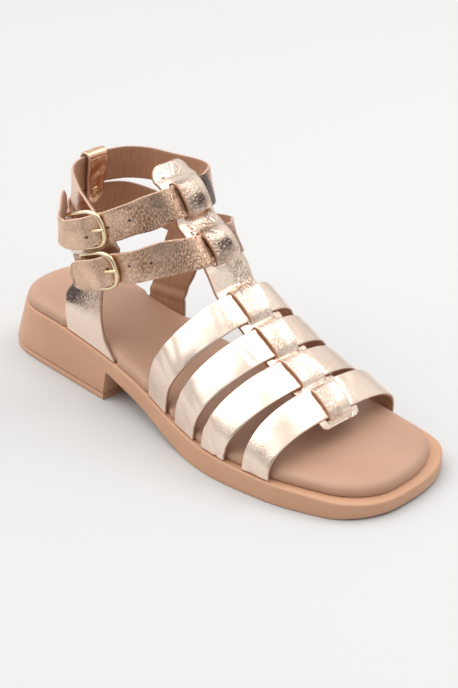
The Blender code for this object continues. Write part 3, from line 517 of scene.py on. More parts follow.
def thicken(name, points, faces, thickness, lay, strainAndPaintedDark, lift=None, rounding=0.00038):
    # a leather wall from its middle surface: foil above, lining below, a rounded cut edge round it.
    # lay and the strain, which above 1 carries painted shade and painted dark reflections, are what the
    # materials read, lift moves the surface along its normals
    p = np.array([tuple(q) for q in points], float)
    f = np.array(faces, int)
    normals = np.zeros_like(p)

    def findNormals():
        normals[:] = 0
        faceNormals = np.cross(p[f[:, 2]] - p[f[:, 0]], p[f[:, 3]] - p[f[:, 1]])
        for k in range(4):
            np.add.at(normals, f[:, k], faceNormals)
        normals[:] /= np.linalg.norm(normals, axis=1, keepdims=True) + 1e-12

    findNormals()
    if lift is not None:
        p += normals * np.array(lift)[:, None]
        findNormals()
    count = len(p)
    sides = set()
    for face in faces:
        for k in range(4):
            sides.add((face[k], face[(k + 1) % 4]))
    border = sorted((a, b) for a, b in sides if (b, a) not in sides)
    outward = np.zeros_like(p)
    for a, b in border:
        out = np.cross(p[b] - p[a], normals[a] + normals[b])
        out /= np.linalg.norm(out) + 1e-12
        outward[a] += out
        outward[b] += out
    onBorder = sorted({v for edge in border for v in edge})
    outward[onBorder] /= np.linalg.norm(outward[onBorder], axis=1, keepdims=True) + 1e-12
    half = thickness / 2
    r = rounding
    profile = [(-r, half), (-0.3 * r, half - 0.3 * r), (0.0, half - r),
               (0.0, r - half), (-0.3 * r, 0.3 * r - half), (-r, -half)]
    top = p + normals * half
    low = p - normals * half
    top[onBorder] -= outward[onBorder] * r
    low[onBorder] -= outward[onBorder] * r
    blocks = [top, low]
    index = {v: i for i, v in enumerate(onBorder)}
    depths = [1.0] * count + [0.0] * count
    source = list(range(count)) * 2
    for out, rise in profile[1:-1]:
        blocks.append(p[onBorder] + outward[onBorder] * out + normals[onBorder] * rise)
        depths += [(rise + half) / thickness] * len(onBorder)
        source += onBorder
    allPoints = np.concatenate(blocks)
    allFaces = [tuple(face) for face in faces]
    allFaces += [tuple(count + v for v in reversed(face)) for face in faces]
    kinds = [0] * len(faces) + [1] * len(faces)

    def ringIndex(v, level):
        if level == 0:
            return v
        if level == len(profile) - 1:
            return count + v
        return 2 * count + (level - 1) * len(onBorder) + index[v]

    for a, b in border:
        for level in range(len(profile) - 1):
            allFaces.append((ringIndex(b, level), ringIndex(a, level),
                             ringIndex(a, level + 1), ringIndex(b, level + 1)))
            kinds.append(0 if level == 0 else 2)
    mesh = meshFrom(name, allPoints, allFaces)
    mesh.polygons.foreach_set("material_index", kinds)
    flat = []
    for v, depth in zip(source, depths):
        flat += [lay[v][0], lay[v][1], depth]
    mesh.attributes.new("lay", "FLOAT_VECTOR", "POINT").data.foreach_set("vector", flat)
    strains = [strainAndPaintedDark[v] for v in source]
    mesh.attributes.new("strainAndPaintedDark", "FLOAT", "POINT").data.foreach_set("value", strains)
    return mesh


def gridFaces(rows, columns, skip=(), flip=False):
    faces = []
    for i in range(rows - 1):
        for j in range(columns - 1):
            if (i, j) not in skip:
                a = i * columns + j
                quad = (a, a + 1, a + columns + 1, a + columns)
                faces.append(quad[::-1] if flip else quad)
    return faces


def wander(x, y, seed, size):
    # soft noise in -1..1 over the leather, by its own coordinates in metres
    return noise.noise(Vector((x / size, y / size, seed)))


def creaseDepth(x, y, creases):
    # straight soft troughs with raised rims: start along, start across, end along, end across,
    # width, depth, all in mm
    total = 0.0
    for x0, y0, x1, y1, width, depth in creases:
        dx, dy = x1 - x0, y1 - y0
        run = dx * dx + dy * dy
        t = ((x - x0) * dx + (y - y0) * dy) / run
        if -0.3 < t < 1.3:
            off = (x - x0) * dy - (y - y0) * dx
            away = abs(off) / math.sqrt(run) / width
            if away < 3.5:
                fade = smoothStep(-0.25, 0.2, t) * smoothStep(1.25, 0.8, t)
                total -= depth * fade * (math.exp(-away * away) - 0.45 * math.exp(-(away - 1.5) ** 2))
    return total


# outsole and toplift

soleLook = {
    "edge": 0.0011,      # rounding of the upper edge
    "foot": 0.0006,      # and of the lower one
    "sharp": 38,         # degrees
    "step": 0.0022,
    "toplift": 0.0034,
    "groove": 0.0005,
}


def heelBottom(x):
    # where the leaning heel's foot is, under a place x of the rim
    front = shoe["heelBreast"] - shoe["breastLean"]
    return front - (front + shoe["heelFlare"]) * (1 - x / shoe["heelBreast"])


def pulledIn(x, distance):
    # drawn towards the middle of the shoe, most at its ends
    return x + distance * (1 - 2 * x / length)


def soleRing(x, bottomX, bottom, top):
    ring = []
    edge, foot = soleLook["edge"], soleLook["foot"]
    ends = endRound(x)
    for side in (lateral, medial):
        y = soleEdge(x, side)
        half = []
        for turn in (90, 67, 45, 22, 0):
            c = 1 - math.cos(math.radians(turn))
            s = 1 - math.sin(math.radians(turn))
            half.append((pulledIn(x, edge * c), y - side * edge * c * ends, top - edge * s))
        for t in (0.25, 0.5, 0.75):
            height = (top - edge) * (1 - t) + (bottom + foot) * t
            half.append((x * (1 - t) + bottomX * t, y, height))
        for turn in (0, 30, 60, 90):
            c = 1 - math.cos(math.radians(turn))
            s = 1 - math.sin(math.radians(turn))
            half.append((pulledIn(bottomX, foot * c), y - side * foot * c * ends, bottom + foot * s))
        ring += half if side == lateral else half[::-1]
    return ring


def loft(name, rings):
    # a solid through the rings; an end ring that has no width is welded shut
    count = len(rings[0])
    points = [p for ring in rings for p in ring]
    faces = []
    for i in range(len(rings) - 1):
        for j in range(count):
            k = (j + 1) % count
            faces.append((i * count + j, i * count + k, (i + 1) * count + k, (i + 1) * count + j))
    faces.append(tuple(reversed(range(count))))
    last = (len(rings) - 1) * count
    faces.append(tuple(last + j for j in range(count)))
    mesh = meshFrom(name, points, faces)
    bm = bmesh.new()
    bm.from_mesh(mesh)
    bmesh.ops.remove_doubles(bm, verts=bm.verts, dist=0.000002)
    bmesh.ops.recalc_face_normals(bm, faces=bm.faces)
    bm.to_mesh(mesh)
    bm.free()
    return mesh


def makeSoles():
    breast = shoe["heelBreast"]
    lift = soleLook["toplift"]
    groove = soleLook["groove"]
    rings = []
    for x in stations(0.0, breast, soleLook["step"], roundStart=shoe["heelEnd"]):
        rings.append(soleRing(x, heelBottom(x), lift + groove / 2, rimHeight(x)))
    for x in stations(breast + gap, length, soleLook["step"], roundEnd=shoe["toeEnd"]):
        rings.append(soleRing(x, x, underside(x / length), rimHeight(x)))
    mesh = loft("outsole", rings)
    mesh.set_sharp_from_angle(angle=math.radians(soleLook["sharp"]))
    makePiece("outsoleUnit", mesh, "outsole", [soleMat])
    rings = []
    for x in stations(0.0, breast, soleLook["step"], roundStart=shoe["heelEnd"]):
        floorX = heelBottom(x)
        rings.append([(floorX, py, pz) for _, py, pz in soleRing(x, floorX, 0.0, lift - groove / 2)])
    mesh = loft("toplift", rings)
    mesh.set_sharp_from_angle(angle=math.radians(soleLook["sharp"]))
    makePiece("heelToplift", mesh, "heel_toplift", [soleMat])


# insole: a padded footbed with a rolled edge, dented where leather goes down beside it

insoleLook = {
    "thickness": 0.0058,
    "edge": 0.0062,
    "crown": 0.0007,
    "crownFade": 0.040,     # the crown starts this far from the ends
    "wall": 0.0012,         # straight part of the edge under its roll
    "tuck": 0.0004,
    "roll": 0.85,
    "waves": 0.00012,
    "heelMargin": 0.0009,
    "toeMargin": 0.0048,
    "dent": 0.0016,
    "step": 0.0018,
    "fill": 0.8,
}
# along the shoe and half length of each dent: the feet of the straps and legs
dents = {
    lateral: [(0.7815, 0.03), (0.679, 0.03), (0.592, 0.03), (0.499, 0.03), (0.28, 0.075)],
    medial: [(0.782, 0.03), (0.697, 0.03), (0.618, 0.03), (0.540, 0.03), (0.277, 0.055)],
}


def dentAt(x, side):
    share = x / length
    deep = 0.0
    for centre, halfRun in dents[side]:
        deep = max(deep, 1 - smoothStep(halfRun, halfRun + 0.014, abs(share - centre)))
    return deep * insoleLook["dent"] * smoothStep(0.66, 0.5, share)


def insoleRing(shareX):
    share = shareX / length
    x = insoleLook["heelMargin"] + share * (length - insoleLook["heelMargin"] - insoleLook["toeMargin"])
    base = rimHeight(x) + gap
    halves = {}
    for side in (lateral, medial):
        y = soleEdge(shareX, side)
        half = []
        roll, wall, power = insoleLook["edge"], insoleLook["wall"], insoleLook["roll"]
        tuck = insoleLook["tuck"] * endRound(shareX)
        room = 0.96 * abs(soleEdge(shareX, lateral) - soleEdge(shareX, medial)) / 2 + 1e-6
        border = (margin[side](share) + dentAt(x, side)) * endRound(shareX)

        def inset(depth):      # a soft limit, so that the two sides never cross near the ends
            return depth / (1 + (depth / room) ** 6) ** (1 / 6)

        # the rolled edge: a quarter of a superellipse, tucked in a little at its foot
        half.append((x, y - side * inset(border + tuck), base))
        for turn in (0, 12, 24, 36, 48, 58, 68, 77, 84, 90):
            c = 1 - math.cos(math.radians(turn)) ** power
            s = math.sin(math.radians(turn)) ** power
            height = base + wall + (insoleLook["thickness"] - wall) * s
            half.append((pulledIn(x, c * roll), y - side * inset(border + c * roll * endRound(shareX)), height))
        halves[side] = half
    ring = list(halves[lateral])
    left = Vector(halves[lateral][-1])
    right = Vector(halves[medial][-1])
    high = insoleLook["crown"] * smoothStep(0.0, insoleLook["crownFade"], min(shareX, length - shareX))
    for i in range(1, 24):
        t = i / 24
        place = left.lerp(right, t)
        crown = high * math.sin(math.pi * t)
        waves = insoleLook["waves"] * wander(place.x, place.y, 3.1, 0.02)
        ring.append((place.x, place.y, place.z + crown + waves))
    return ring + halves[medial][::-1]


def makeInsole():
    places = stations(0.0, length, insoleLook["step"], roundStart=shoe["heelEnd"], roundEnd=shoe["toeEnd"])
    mesh = loft("insole", [insoleRing(x) for x in places])
    mesh.set_sharp_from_angle(angle=math.radians(60))
    insole = makePiece("footbed", mesh, "insole", [insoleMat])


makeSoles()
makeInsole()
print("sole, toplift and footbed made")


# the ridge over the foot and the arches that the straps follow

def ridgePlace(row):
    return Vector((ridgeRows[row][0] * length, ridgeSide, ridgeRows[row][1] * shoe["ankleHeight"]))


ridgeArc = [0.0]
for row in range(1, len(ridgeRows)):
    ridgeArc.append(ridgeArc[-1] + (ridgePlace(row) - ridgePlace(row - 1)).length)
ridgeX = curveThrough(ridgeArc, [ridgePlace(i).x for i in range(len(ridgeRows))])
ridgeZ = curveThrough(ridgeArc, [ridgePlace(i).z for i in range(len(ridgeRows))])
ridgeFall = curveThrough(ridgeArc, [row[2] for row in ridgeRows])


def ridgePoint(arc):
    return Vector((ridgeX(arc), ridgeSide, ridgeZ(arc)))


def ridgeDirection(arc):
    near = min(max(arc, gap), ridgeArc[-1] - gap)
    return (ridgePoint(near + gap) - ridgePoint(near - gap)).normalized()


archLook = {"inset": 0.0018, "ankleSquare": 2.5, "ankleSpan": 0.034, "lean": 1.5}


def footPoint(x, side):
    return Vector((x, soleEdge(x, side) - side * archLook["inset"], rimHeight(x) + 2 * gap))


def archSizes():
    # curves along the ridge for each side: span, height, lean, squareness
    sizes = {}
    for side in (lateral, medial):
        arcs, spans, heights, leans, squares = [], [], [], [], []
        for _, row, feet, square, _ in foreStraps:
            foot = footPoint(feet[side == medial] * length, side)
            peak = ridgePlace(row)
            arcs.append(ridgeArc[row])
            spans.append(abs(foot.y - ridgeSide))
            heights.append(peak.z - foot.z)
            leans.append((foot.x - peak.x) / (peak.z - foot.z))
            squares.append(square[side == medial])
        for row in (lowerAnkleRow, upperAnkleRow):
            arcs.append(ridgeArc[row])
            spans.append(archLook["ankleSpan"])
            heights.append(archLook["ankleSpan"])
            leans.append(0.0)
            squares.append(archLook["ankleSquare"])
        sizes[side] = [curveThrough(arcs, values) for values in (spans, heights, leans, squares)]
    return sizes


arch = archSizes()


def archDrop(arc, side, drop):
    # from the ridge down to a share of the arch's height
    fall = math.radians(ridgeFall(arc))
    lean = arch[side][2](arc) * (1 - (1 - drop) ** archLook["lean"])
    return Vector((lean - math.sin(fall) * drop, 0.0, -math.cos(fall) * drop)) * arch[side][1](arc)


def archAt(arc, y):
    side = medial if y > ridgeSide else lateral
    out = min(abs(y - ridgeSide) / arch[side][0](arc), 1.0)
    square = arch[side][3](arc)
    drop = 1 - (1 - out ** square) ** (1 / square)
    point = ridgePoint(arc) + archDrop(arc, side, drop)
    point.y = y
    return point


def archNormal(arc, y):
    across = archAt(arc, y + gap) - archAt(arc, y - gap)
    return ridgeDirection(arc).cross(across).normalized() * -1


strapLook = {
    "thickness": 0.00175,
    "width": 0.0165,
    "footWidth": 0.0150,
    "centreWidth": 0.0270,
    "bridgeWidth": 0.0150,
    "marginLevel": 0.00055,
    "crown": 0.00035,      # a strap is this much higher along its middle
    "wave": 0.00030,
    "step": 0.0011,
    "columns": 16,
    "layerGap": 0.00005,
}
# levels over the last: the straps on the centre strap's margins, its bridges on the straps
crossLevel = strapLook["marginLevel"] + strapLook["thickness"] + strapLook["layerGap"]
bridgeLevel = crossLevel + strapLook["thickness"] + strapLook["layerGap"]

# soft troughs of each forefoot strap, in mm: along from the ridge (- is lateral), across (+ is
# towards the ankle), to the same at the other end, half width, depth
foreCreases = {
    "toeStrap": [(-58, -6, -50, 7, 2.0, 0.25), (-16, -8, -12, 8, 1.6, 0.22), (14, -7, 17, 8, 2.0, 0.25)],
    "ballStrap": [(-63, -1, -55, -9, 1.1, 0.55), (-46, 9, -58, -2, 1.6, 0.40), (-15, -8, -11, 8, 1.5, 0.25),
                  (16, -7, 12, 8, 1.6, 0.25)],
    "waistStrap": [(-64, -7, -54, 6, 2.2, 0.30), (-50, -8, -44, 8, 2.4, 0.22), (-13, -8, -15, 8, 1.5, 0.25),
                   (13, -8, 15, 8, 1.6, 0.3)],
    "instepStrap": [(-52, -8, -46, 8, 2.4, 0.30), (-44, -8, -37, 8, 2.0, 0.25), (-16, -8, -12, 8, 1.6, 0.28),
                    (12, -8, 16, 8, 1.6, 0.3)],
}


foreSteps = 120      # from a foot to the ridge


def foreStrapLine(row, feet, bulges):
    # centres and width vectors from the lateral to the medial foot
    arc = ridgeArc[row]
    line = []
    for side, footShare, bulge in zip((lateral, medial), feet, bulges):
        footX = footShare * length
        half = strapLook["footWidth"] / 2
        footSide = footPoint(footX - half, side) - footPoint(footX + half, side)
        square = arch[side][3](arc)
        part = []
        for i in range(foreSteps + 1):
            angle = math.radians(90 * i / foreSteps)
            rise = math.sin(angle) ** (2 / square)
            out = math.cos(angle) ** (2 / square) if i < foreSteps else 0.0
            out += bulge * math.sin(math.pi * rise) ** 2
            centre = ridgePoint(arc) + archDrop(arc, side, 1 - rise)
            centre.y = ridgeSide + side * arch[side][0](arc) * out
            across = Vector((0.0, -side * math.sin(angle), math.cos(angle)))
            width = ridgeDirection(arc) * strapLook["width"] * rise + footSide * (1 - rise)
            normal = width.cross(across).normalized() * side
            centre += normal * crossLevel * rise
            part.append((centre, width))
        line += part if side == lateral else part[::-1][1:]
    return line


def evenly(line, step):
    # the same line at even distances
    run = [0.0]
    for i in range(1, len(line)):
        run.append(run[-1] + (line[i][0] - line[i - 1][0]).length)
    count = round(run[-1] / step)
    result = []
    k = 0
    for i in range(count + 1):
        aim = run[-1] * i / count
        while k < len(run) - 2 and run[k + 1] < aim:
            k += 1
        t = (aim - run[k]) / max(run[k + 1] - run[k], 1e-9)
        result.append((aim, line[k][0].lerp(line[k + 1][0], t), line[k][1].lerp(line[k + 1][1], t)))
    return result


def makeForeStraps():
    columns = strapLook["columns"]
    for number, (name, row, feet, _, bulges) in enumerate(foreStraps):
        line = foreStrapLine(row, feet, bulges)
        even = evenly(line, strapLook["step"])
        top = min(range(len(even)), key=lambda i: abs(even[i][1].y - ridgeSide))
        middle = even[top][0]
        points, lay, strainAndPaintedDark, lift = [], [], [], []
        for aim, centre, width in even:
            along = aim - middle
            for j in range(columns + 1):
                c = j / columns - 0.5
                points.append(centre + width * c)
                across = c * strapLook["width"]
                lay.append((along, across + number * 0.05))
                toFoot = min(aim, even[-1][0] - aim)
                hold = smoothStep(0.004, 0.016, toFoot)
                soft = strapLook["crown"] * (1 - (2 * c) ** 2) * hold
                soft += strapLook["wave"] * hold * wander(along, across, number * 7.3, 0.016)
                soft += 0.5 * strapLook["wave"] * hold * wander(along, across, number * 3.9 + 2, 0.007)
                soft += creaseDepth(along * 1000, across * 1000, foreCreases[name]) / 1000
                lift.append(soft)
                near = 1 - smoothStep(0.010, 0.026, abs(along - 0.004))
                low = 1 - smoothStep(0.010, 0.040, toFoot)
                strainAndPaintedDark.append(0.12 + 0.75 * near + 0.35 * low)
        mesh = thicken(name, points, gridFaces(len(even), columns + 1, flip=True), strapLook["thickness"],
                       lay, strainAndPaintedDark, lift)
        makePiece(name, mesh, "upper", [foils["foilSmooth"], liningMat, edgeMat])


makeForeStraps()
print("forefoot straps made")


# the centre strap: margins under the straps, bridges over them

ankleLook = {
    "width": 0.0175,
    "endWidth": 0.0153,
    "crossingWidth": 0.0160,
    "thickness": 0.0017,
    "lowerSlack": 0.0042,
    "upperSlack": 0.0016,
    "slitExtra": 0.0004,
    "looseGap": 0.0005,
    "step": 0.0011,
    "columns": 14,
    "wave": 0.00022,
}
# the solids' own strap thicknesses and level of the margins, which the ankle straps keep to
cadStrap, cadAnkle, cadMarginLevel = 0.0020, 0.0018, 0.0006
ankleLayer = (cadStrap + cadAnkle) / 2 + ankleLook["looseGap"]
ankleLevel = {
    lowerAnkleRow: cadMarginLevel + ankleLayer + ankleLook["lowerSlack"],
    upperAnkleRow: cadMarginLevel + ankleLayer + ankleLook["upperSlack"],
}
centreLook = {
    "slitExtra": 0.0007,
    "toeLift": 0.0013,
    "slit": 0.0003,
    "step": 0.0007,
    "toeCorner": 0.0040,
    "topCorner": 0.0085,
    "ramp": 0.0024,
    "lift": {lowerAnkleRow: 0.0046, upperAnkleRow: 0.0021},    # the strap stands off the last here
    "marginColumns": 9,
    "bridgeColumns": 18,
    "foldDepth": 3.0,          # how much deeper the folds are than their tables say
    "foldStrain": 8.0,
    # foreShade and ankleShade are painted shade on the near side of the bridges
    "foreShade": 0.09,         # darker near side of the bridges
    "ankleShade": 0.30,
}
random.seed(11)


def fan(x, y, spread, count, reach, width, depth):
    # fine wrinkles that run out from one place, angles in degrees from the strap's direction
    lines = []
    for i in range(count):
        share = (i + random.uniform(-0.3, 0.3)) / max(count - 1, 1)
        angle = math.radians(spread[0] + (spread[1] - spread[0]) * share)
        near = reach * random.uniform(0.10, 0.28)
        far = reach * random.uniform(0.6, 1.0)
        lines.append((x + math.cos(angle) * near, y + math.sin(angle) * near,
                      x + math.cos(angle) * far, y + math.sin(angle) * far,
                      width * random.uniform(0.8, 1.3), depth * random.uniform(0.6, 1.2)))
    return lines


def centreCreases():
    arcs = [a * 1000 for a in ridgeArc]
    lines = []
    # between the instep strap and the ankle straps the leather folds most
    lines += fan(arcs[lowerAnkleRow] - 10, 6, (150, 215), 9, 20, 0.55, 0.20)
    lines += fan(arcs[4] + 11, 9, (-50, 40), 8, 17, 0.55, 0.18)
    lines += fan(arcs[upperAnkleRow] - 11, -9, (115, 200), 9, 15, 0.50, 0.20)
    lines += fan(arcs[lowerAnkleRow] + 10, 8, (-60, 30), 8, 13, 0.50, 0.18)
    lines += fan(arcs[upperAnkleRow] + 11, -2, (-70, 70), 11, 11, 0.45, 0.16)
    for row in (1, 2, 3, 4):
        lines += fan(arcs[row] + 9.5, 7, (-85, -10), 6, 8, 0.45, 0.13)
        lines += fan(arcs[row] - 9.5, 8, (100, 260), 6, 7, 0.45, 0.13)
    return lines


def centreStations():
    plain = strapLook["thickness"] / 2
    places = []           # arc, section, level of the margins, level of the bridge, width, slit
    half = strapLook["centreWidth"] / 2

    def tabWidth(fromEnd, corner):
        short = max(1 - fromEnd / corner, 0.0)
        return 1 - corner / half * (1 - math.sqrt(1 - short * short))

    for i in range(9):
        back = centreLook["toeCorner"] * (1 - math.cos(i / 8 * math.pi / 2))
        arc = ridgeArc[0] + back
        front = plain + centreLook["toeLift"]
        places.append((arc, arc, front, front, tabWidth(back, centreLook["toeCorner"]), False))
    crossings = []
    for _, row, _, _, _ in foreStraps:
        crossings.append((ridgeArc[row], strapLook["width"], centreLook["slitExtra"], bridgeLevel,
                          strapLook["marginLevel"], 0.0))
    for row, level in ankleLevel.items():
        crossings.append((ridgeArc[row], ankleLook["crossingWidth"] + 2 * gap, ankleLook["slitExtra"],
                          level + ankleLayer, cadMarginLevel, centreLook["lift"][row]))
    for arc, width, extra, level, low, raised in crossings:
        start = arc - width / 2 - extra
        end = arc + width / 2 + extra
        ramp = centreLook["ramp"]
        rest = plain + raised * 0.8
        rise = rest + (level - rest) * 0.36
        tip = arc == ridgeArc[foreStraps[0][1]]
        before = plain + centreLook["toeLift"] if tip else rest
        beforeRise = before + (level - before) * 0.45 if tip else rise
        places = [s for s in places if s[0] < start - ramp - gap]
        widths = [tabWidth(a - ridgeArc[0], centreLook["toeCorner"]) for a in (start - ramp, start)]
        places.append((start - ramp, start - ramp, before, before, widths[0], False))
        places.append((start, start, before, beforeRise, widths[1], True))
        for place, share in ((-0.5, 0.80), (-0.42, 0.92), (-0.28, 1.0), (0.0, 1.04), (0.28, 1.0), (0.42, 0.92),
                             (0.5, 0.80)):
            places.append((arc + place * width, arc, low + raised, level * share, 1.0, True))
        places.append((end, end, rest, rise, 1.0, False))
        places.append((end + ramp, end + ramp, rest, rest, 1.0, False))
    for i in range(13):
        back = centreLook["topCorner"] * (1 - math.cos((1 - i / 12) * math.pi / 2))
        arc = ridgeArc[-1] - back
        if arc > places[-1][0] + gap:
            places.append((arc, arc, plain, plain, tabWidth(back, centreLook["topCorner"]), False))
    return places


def makeCentreStrap():
    half = strapLook["centreWidth"] / 2
    bridge = strapLook["bridgeWidth"] / 2
    slit = centreLook["slit"]
    m = centreLook["marginColumns"]
    b = centreLook["bridgeColumns"]
    sides = [-half + (half - bridge - slit) * i / m for i in range(m + 1)]
    sides += [-bridge + 2 * bridge * i / b for i in range(b + 1)]
    sides += [bridge + slit + (half - bridge - slit) * i / m for i in range(m + 1)]
    isBridge = [m < j <= m + 1 + b for j in range(len(sides))]
    coarse = centreStations()
    coarseRows = []
    for arc, section, low, high, width, _ in coarse:
        along = ridgeDirection(section) * (arc - section)
        rowPoints = []
        for j, side in enumerate(sides):
            y = shoe["centreSide"] + side * width
            level = high if isBridge[j] else low
            rowPoints.append(archAt(section, y) + archNormal(section, y) * level + along)
        coarseRows.append(np.array([tuple(p) for p in rowPoints]))
    # fine rows between the stations, smoothed so that the bridges bend softly
    fine, arcs, slits, widths = [], [], [], []
    for i in range(len(coarse) - 1):
        run = coarse[i + 1][0] - coarse[i][0]
        count = max(1, round(run / centreLook["step"]))
        for k in range(count):
            t = k / count
            fine.append(coarseRows[i] * (1 - t) + coarseRows[i + 1] * t)
            arcs.append(coarse[i][0] + run * t)
            slits.append(coarse[i][5])
            widths.append(coarse[i][4] * (1 - t) + coarse[i + 1][4] * t)
    fine.append(coarseRows[-1])
    arcs.append(coarse[-1][0])
    slits.append(False)
    widths.append(coarse[-1][4])
    grid = np.array(fine)
    for _ in range(4):
        smoother = grid.copy()
        smoother[1:-1] = grid[:-2] * 0.25 + grid[1:-1] * 0.5 + grid[2:] * 0.25
        grid[6:-6] = smoother[6:-6]
    whole = [i for i in range(8, len(arcs) - 8) if not slits[i] and not slits[i - 1]]
    for _ in range(8):
        rowsNow = grid[whole]
        grid[whole, 1:-1] = rowsNow[:, :-2] * 0.25 + rowsNow[:, 1:-1] * 0.5 + rowsNow[:, 2:] * 0.25
    creases = centreCreases()
    points, lay, strainAndPaintedDark, lift = [], [], [], []
    for i, arc in enumerate(arcs):
        for j, side in enumerate(sides):
            points.append(grid[i, j])
            across = side * widths[i]
            lay.append((arc, across + 0.3))
            toEdge = half * widths[i] - abs(across)
            free = smoothStep(0.0, 0.004, toEdge)
            soft = 0.00025 * free * wander(arc, across, 21.0, 0.009)
            folded = creaseDepth(arc * 1000, across * 1000, creases) * free
            soft += folded / 1000 * centreLook["foldDepth"]
            lift.append(soft)
            strain = 0.30 + 0.15 * smoothStep(ridgeArc[4], ridgeArc[5], arc)
            # painted shade: more dark flecks on the near side of each bridge
            if isBridge[j] and slits[i]:
                strain += 0.35 * smoothStep(0.5, -0.3, across / bridge)
            strain += min(abs(folded) * centreLook["foldStrain"], 0.75)
            shade = 0.0
            if isBridge[j] and slits[i]:      # painted shade: the near side of each bridge is darker
                high = arc > (ridgeArc[4] + ridgeArc[5]) / 2
                shade = centreLook["ankleShade" if high else "foreShade"]
                shade *= smoothStep(0.7, -0.9, across / bridge)
            # painted dark reflections on the centre strap
            paintedDark = paintedDarkAt("centreStrap", arc, across)
            strainAndPaintedDark.append(max(strain, 1.0 + shade if shade > 0.02 else 0.0) + paintedDark)
    skip = {(i, j) for i, cut in enumerate(slits) if cut for j in (m, m + 1 + b)}
    mesh = thicken("centreStrap", points, gridFaces(len(arcs), len(sides), skip),
                   strapLook["thickness"], lay, strainAndPaintedDark, lift)
    makePiece("centreStrap", mesh, "upper", [foils["foilCentre"], liningMat, shadedSlitEdgeMat])


makeCentreStrap()
print("centre strap made")


# ankle straps, round the leg: along the shoe, side in half heel widths, height in ankle heights

upperFront = [(0.390, -0.700, 0.985), (0.366, -0.940, 0.955), (0.336, -1.130, 0.915)]
upperBar = (0.259, -1.265, 0.853)
upperTail = [(0.243, -1.500, 0.860), (0.226, -1.350, 0.884), (0.206, -1.150, 0.912), (0.188, -0.955, 0.938)]
upperRound = [
    (0.286, -1.030, 0.848),
    (0.230, -0.930, 0.915),
    (0.188, -0.740, 0.945),
    (0.163, -0.590, 0.953),
    (0.143, -0.400, 0.955),
    (0.133, -0.200, 0.955),
    (0.130, 0.140, 0.955),
    (0.136, 0.460, 0.957),
    (0.156, 0.780, 0.960),
    (0.196, 1.010, 0.962),
    (0.254, 1.110, 0.965),
    (0.320, 1.130, 0.980),
    (0.378, 0.930, 1.005),
]
lowerFront = [(0.450, -0.780, 0.815), (0.404, -1.090, 0.764)]
lowerBar = (0.296, -1.285, 0.678)
lowerRound = [
    (0.300, 1.170, 0.720),
    (0.345, 1.155, 0.725),
    (0.395, 1.140, 0.745),
    (0.433, 0.990, 0.775),
    (0.461, 0.775, 0.808),
]
lowerTail = [(0.283, -1.572, 0.668)]
bandRows = [
    (0.350, -1.000, 0.772),
    (0.312, -1.075, 0.774),
    (0.264, -1.120, 0.773),
    (0.216, -1.010, 0.773),
    (0.174, -0.790, 0.771),
    (0.139, -0.500, 0.770),
    (0.122, -0.200, 0.770),
    (0.119, 0.140, 0.770),
    (0.125, 0.460, 0.768),
    (0.148, 0.780, 0.762),
    (0.194, 0.975, 0.745),
    (0.244, 1.060, 0.730),
    (0.296, 1.075, 0.722),
    (0.344, 1.050, 0.718),
]
backRow = 6
upperTab = [(0.0036, 0.0016), (0.0058, 0.0034)]
lowerTab = [(0.0045, 0.0010), (0.0095, 0.0038)]
# reach, lift: the free end from under the frame's front to over the bar
freeEnd = [(0.95, 0.00), (0.86, 0.06), (0.72, 0.52), (0.58, 0.90), (0.36, 1.00), (0.00, 1.00)]
buckleLook = {
    "wire": 0.0010,
    "frame": 0.0013,
    "square": 2.8,
    "prong": 0.0008,
    "reach": 0.0190,
    "straight": 0.5,      # share of the reach before the frame's bend
    "barEnd": 0.97,       # the frame meets its bar just inside the corners
    "barLift": 0.0002,
    "prongTip": 1.6,      # the prong ends this many wire radii past the frame's front
}
foldRadius = buckleLook["wire"] + ankleLook["looseGap"] + cadAnkle / 2
freeLevel = 2 * foldRadius + cadAnkle + 2 * gap


def ringPoint(row):
    return Vector((row[0] * length, row[1] * heelWidth / 2, row[2] * shoe["ankleHeight"]))


def ringUp(row):
    return Vector((0.14 * max(0.0, 1 - abs(row[1])), 0.0, 1.0)).normalized()


def crossingPoints(row):
    # where an ankle strap passes through the centre strap
    arc = ridgeArc[row]
    half = strapLook["centreWidth"] / 2
    bridge = strapLook["bridgeWidth"] / 2
    places = []
    for side in (half, bridge, 0.0, -bridge, -half):
        y = shoe["centreSide"] + side
        places.append(archAt(arc, y) + archNormal(arc, y) * ankleLevel[row])
    return places


def pathThrough(points, spans, step):
    # a smooth path through the points, each with its width vector
    middle = []
    for i in range(len(points) - 1):
        before = points[max(i - 1, 0)]
        start = points[i]
        end = points[i + 1]
        after = points[min(i + 2, len(points) - 1)]
        run = (end - start).length
        leadIn = (end - before) * run / max(run + (start - before).length, gap)
        leadOut = (after - start) * run / max(run + (after - end).length, gap)
        count = max(1, round(run / step))
        for k in range(count):
            t = k / count
            place = (start * (1 - t) ** 2 * (1 + 2 * t) + end * t ** 2 * (3 - 2 * t)
                     + leadIn * t * (1 - t) ** 2 - leadOut * t ** 2 * (1 - t))
            middle.append((place, spans[i].lerp(spans[i + 1], t)))
    middle.append((points[-1], spans[-1]))
    return middle


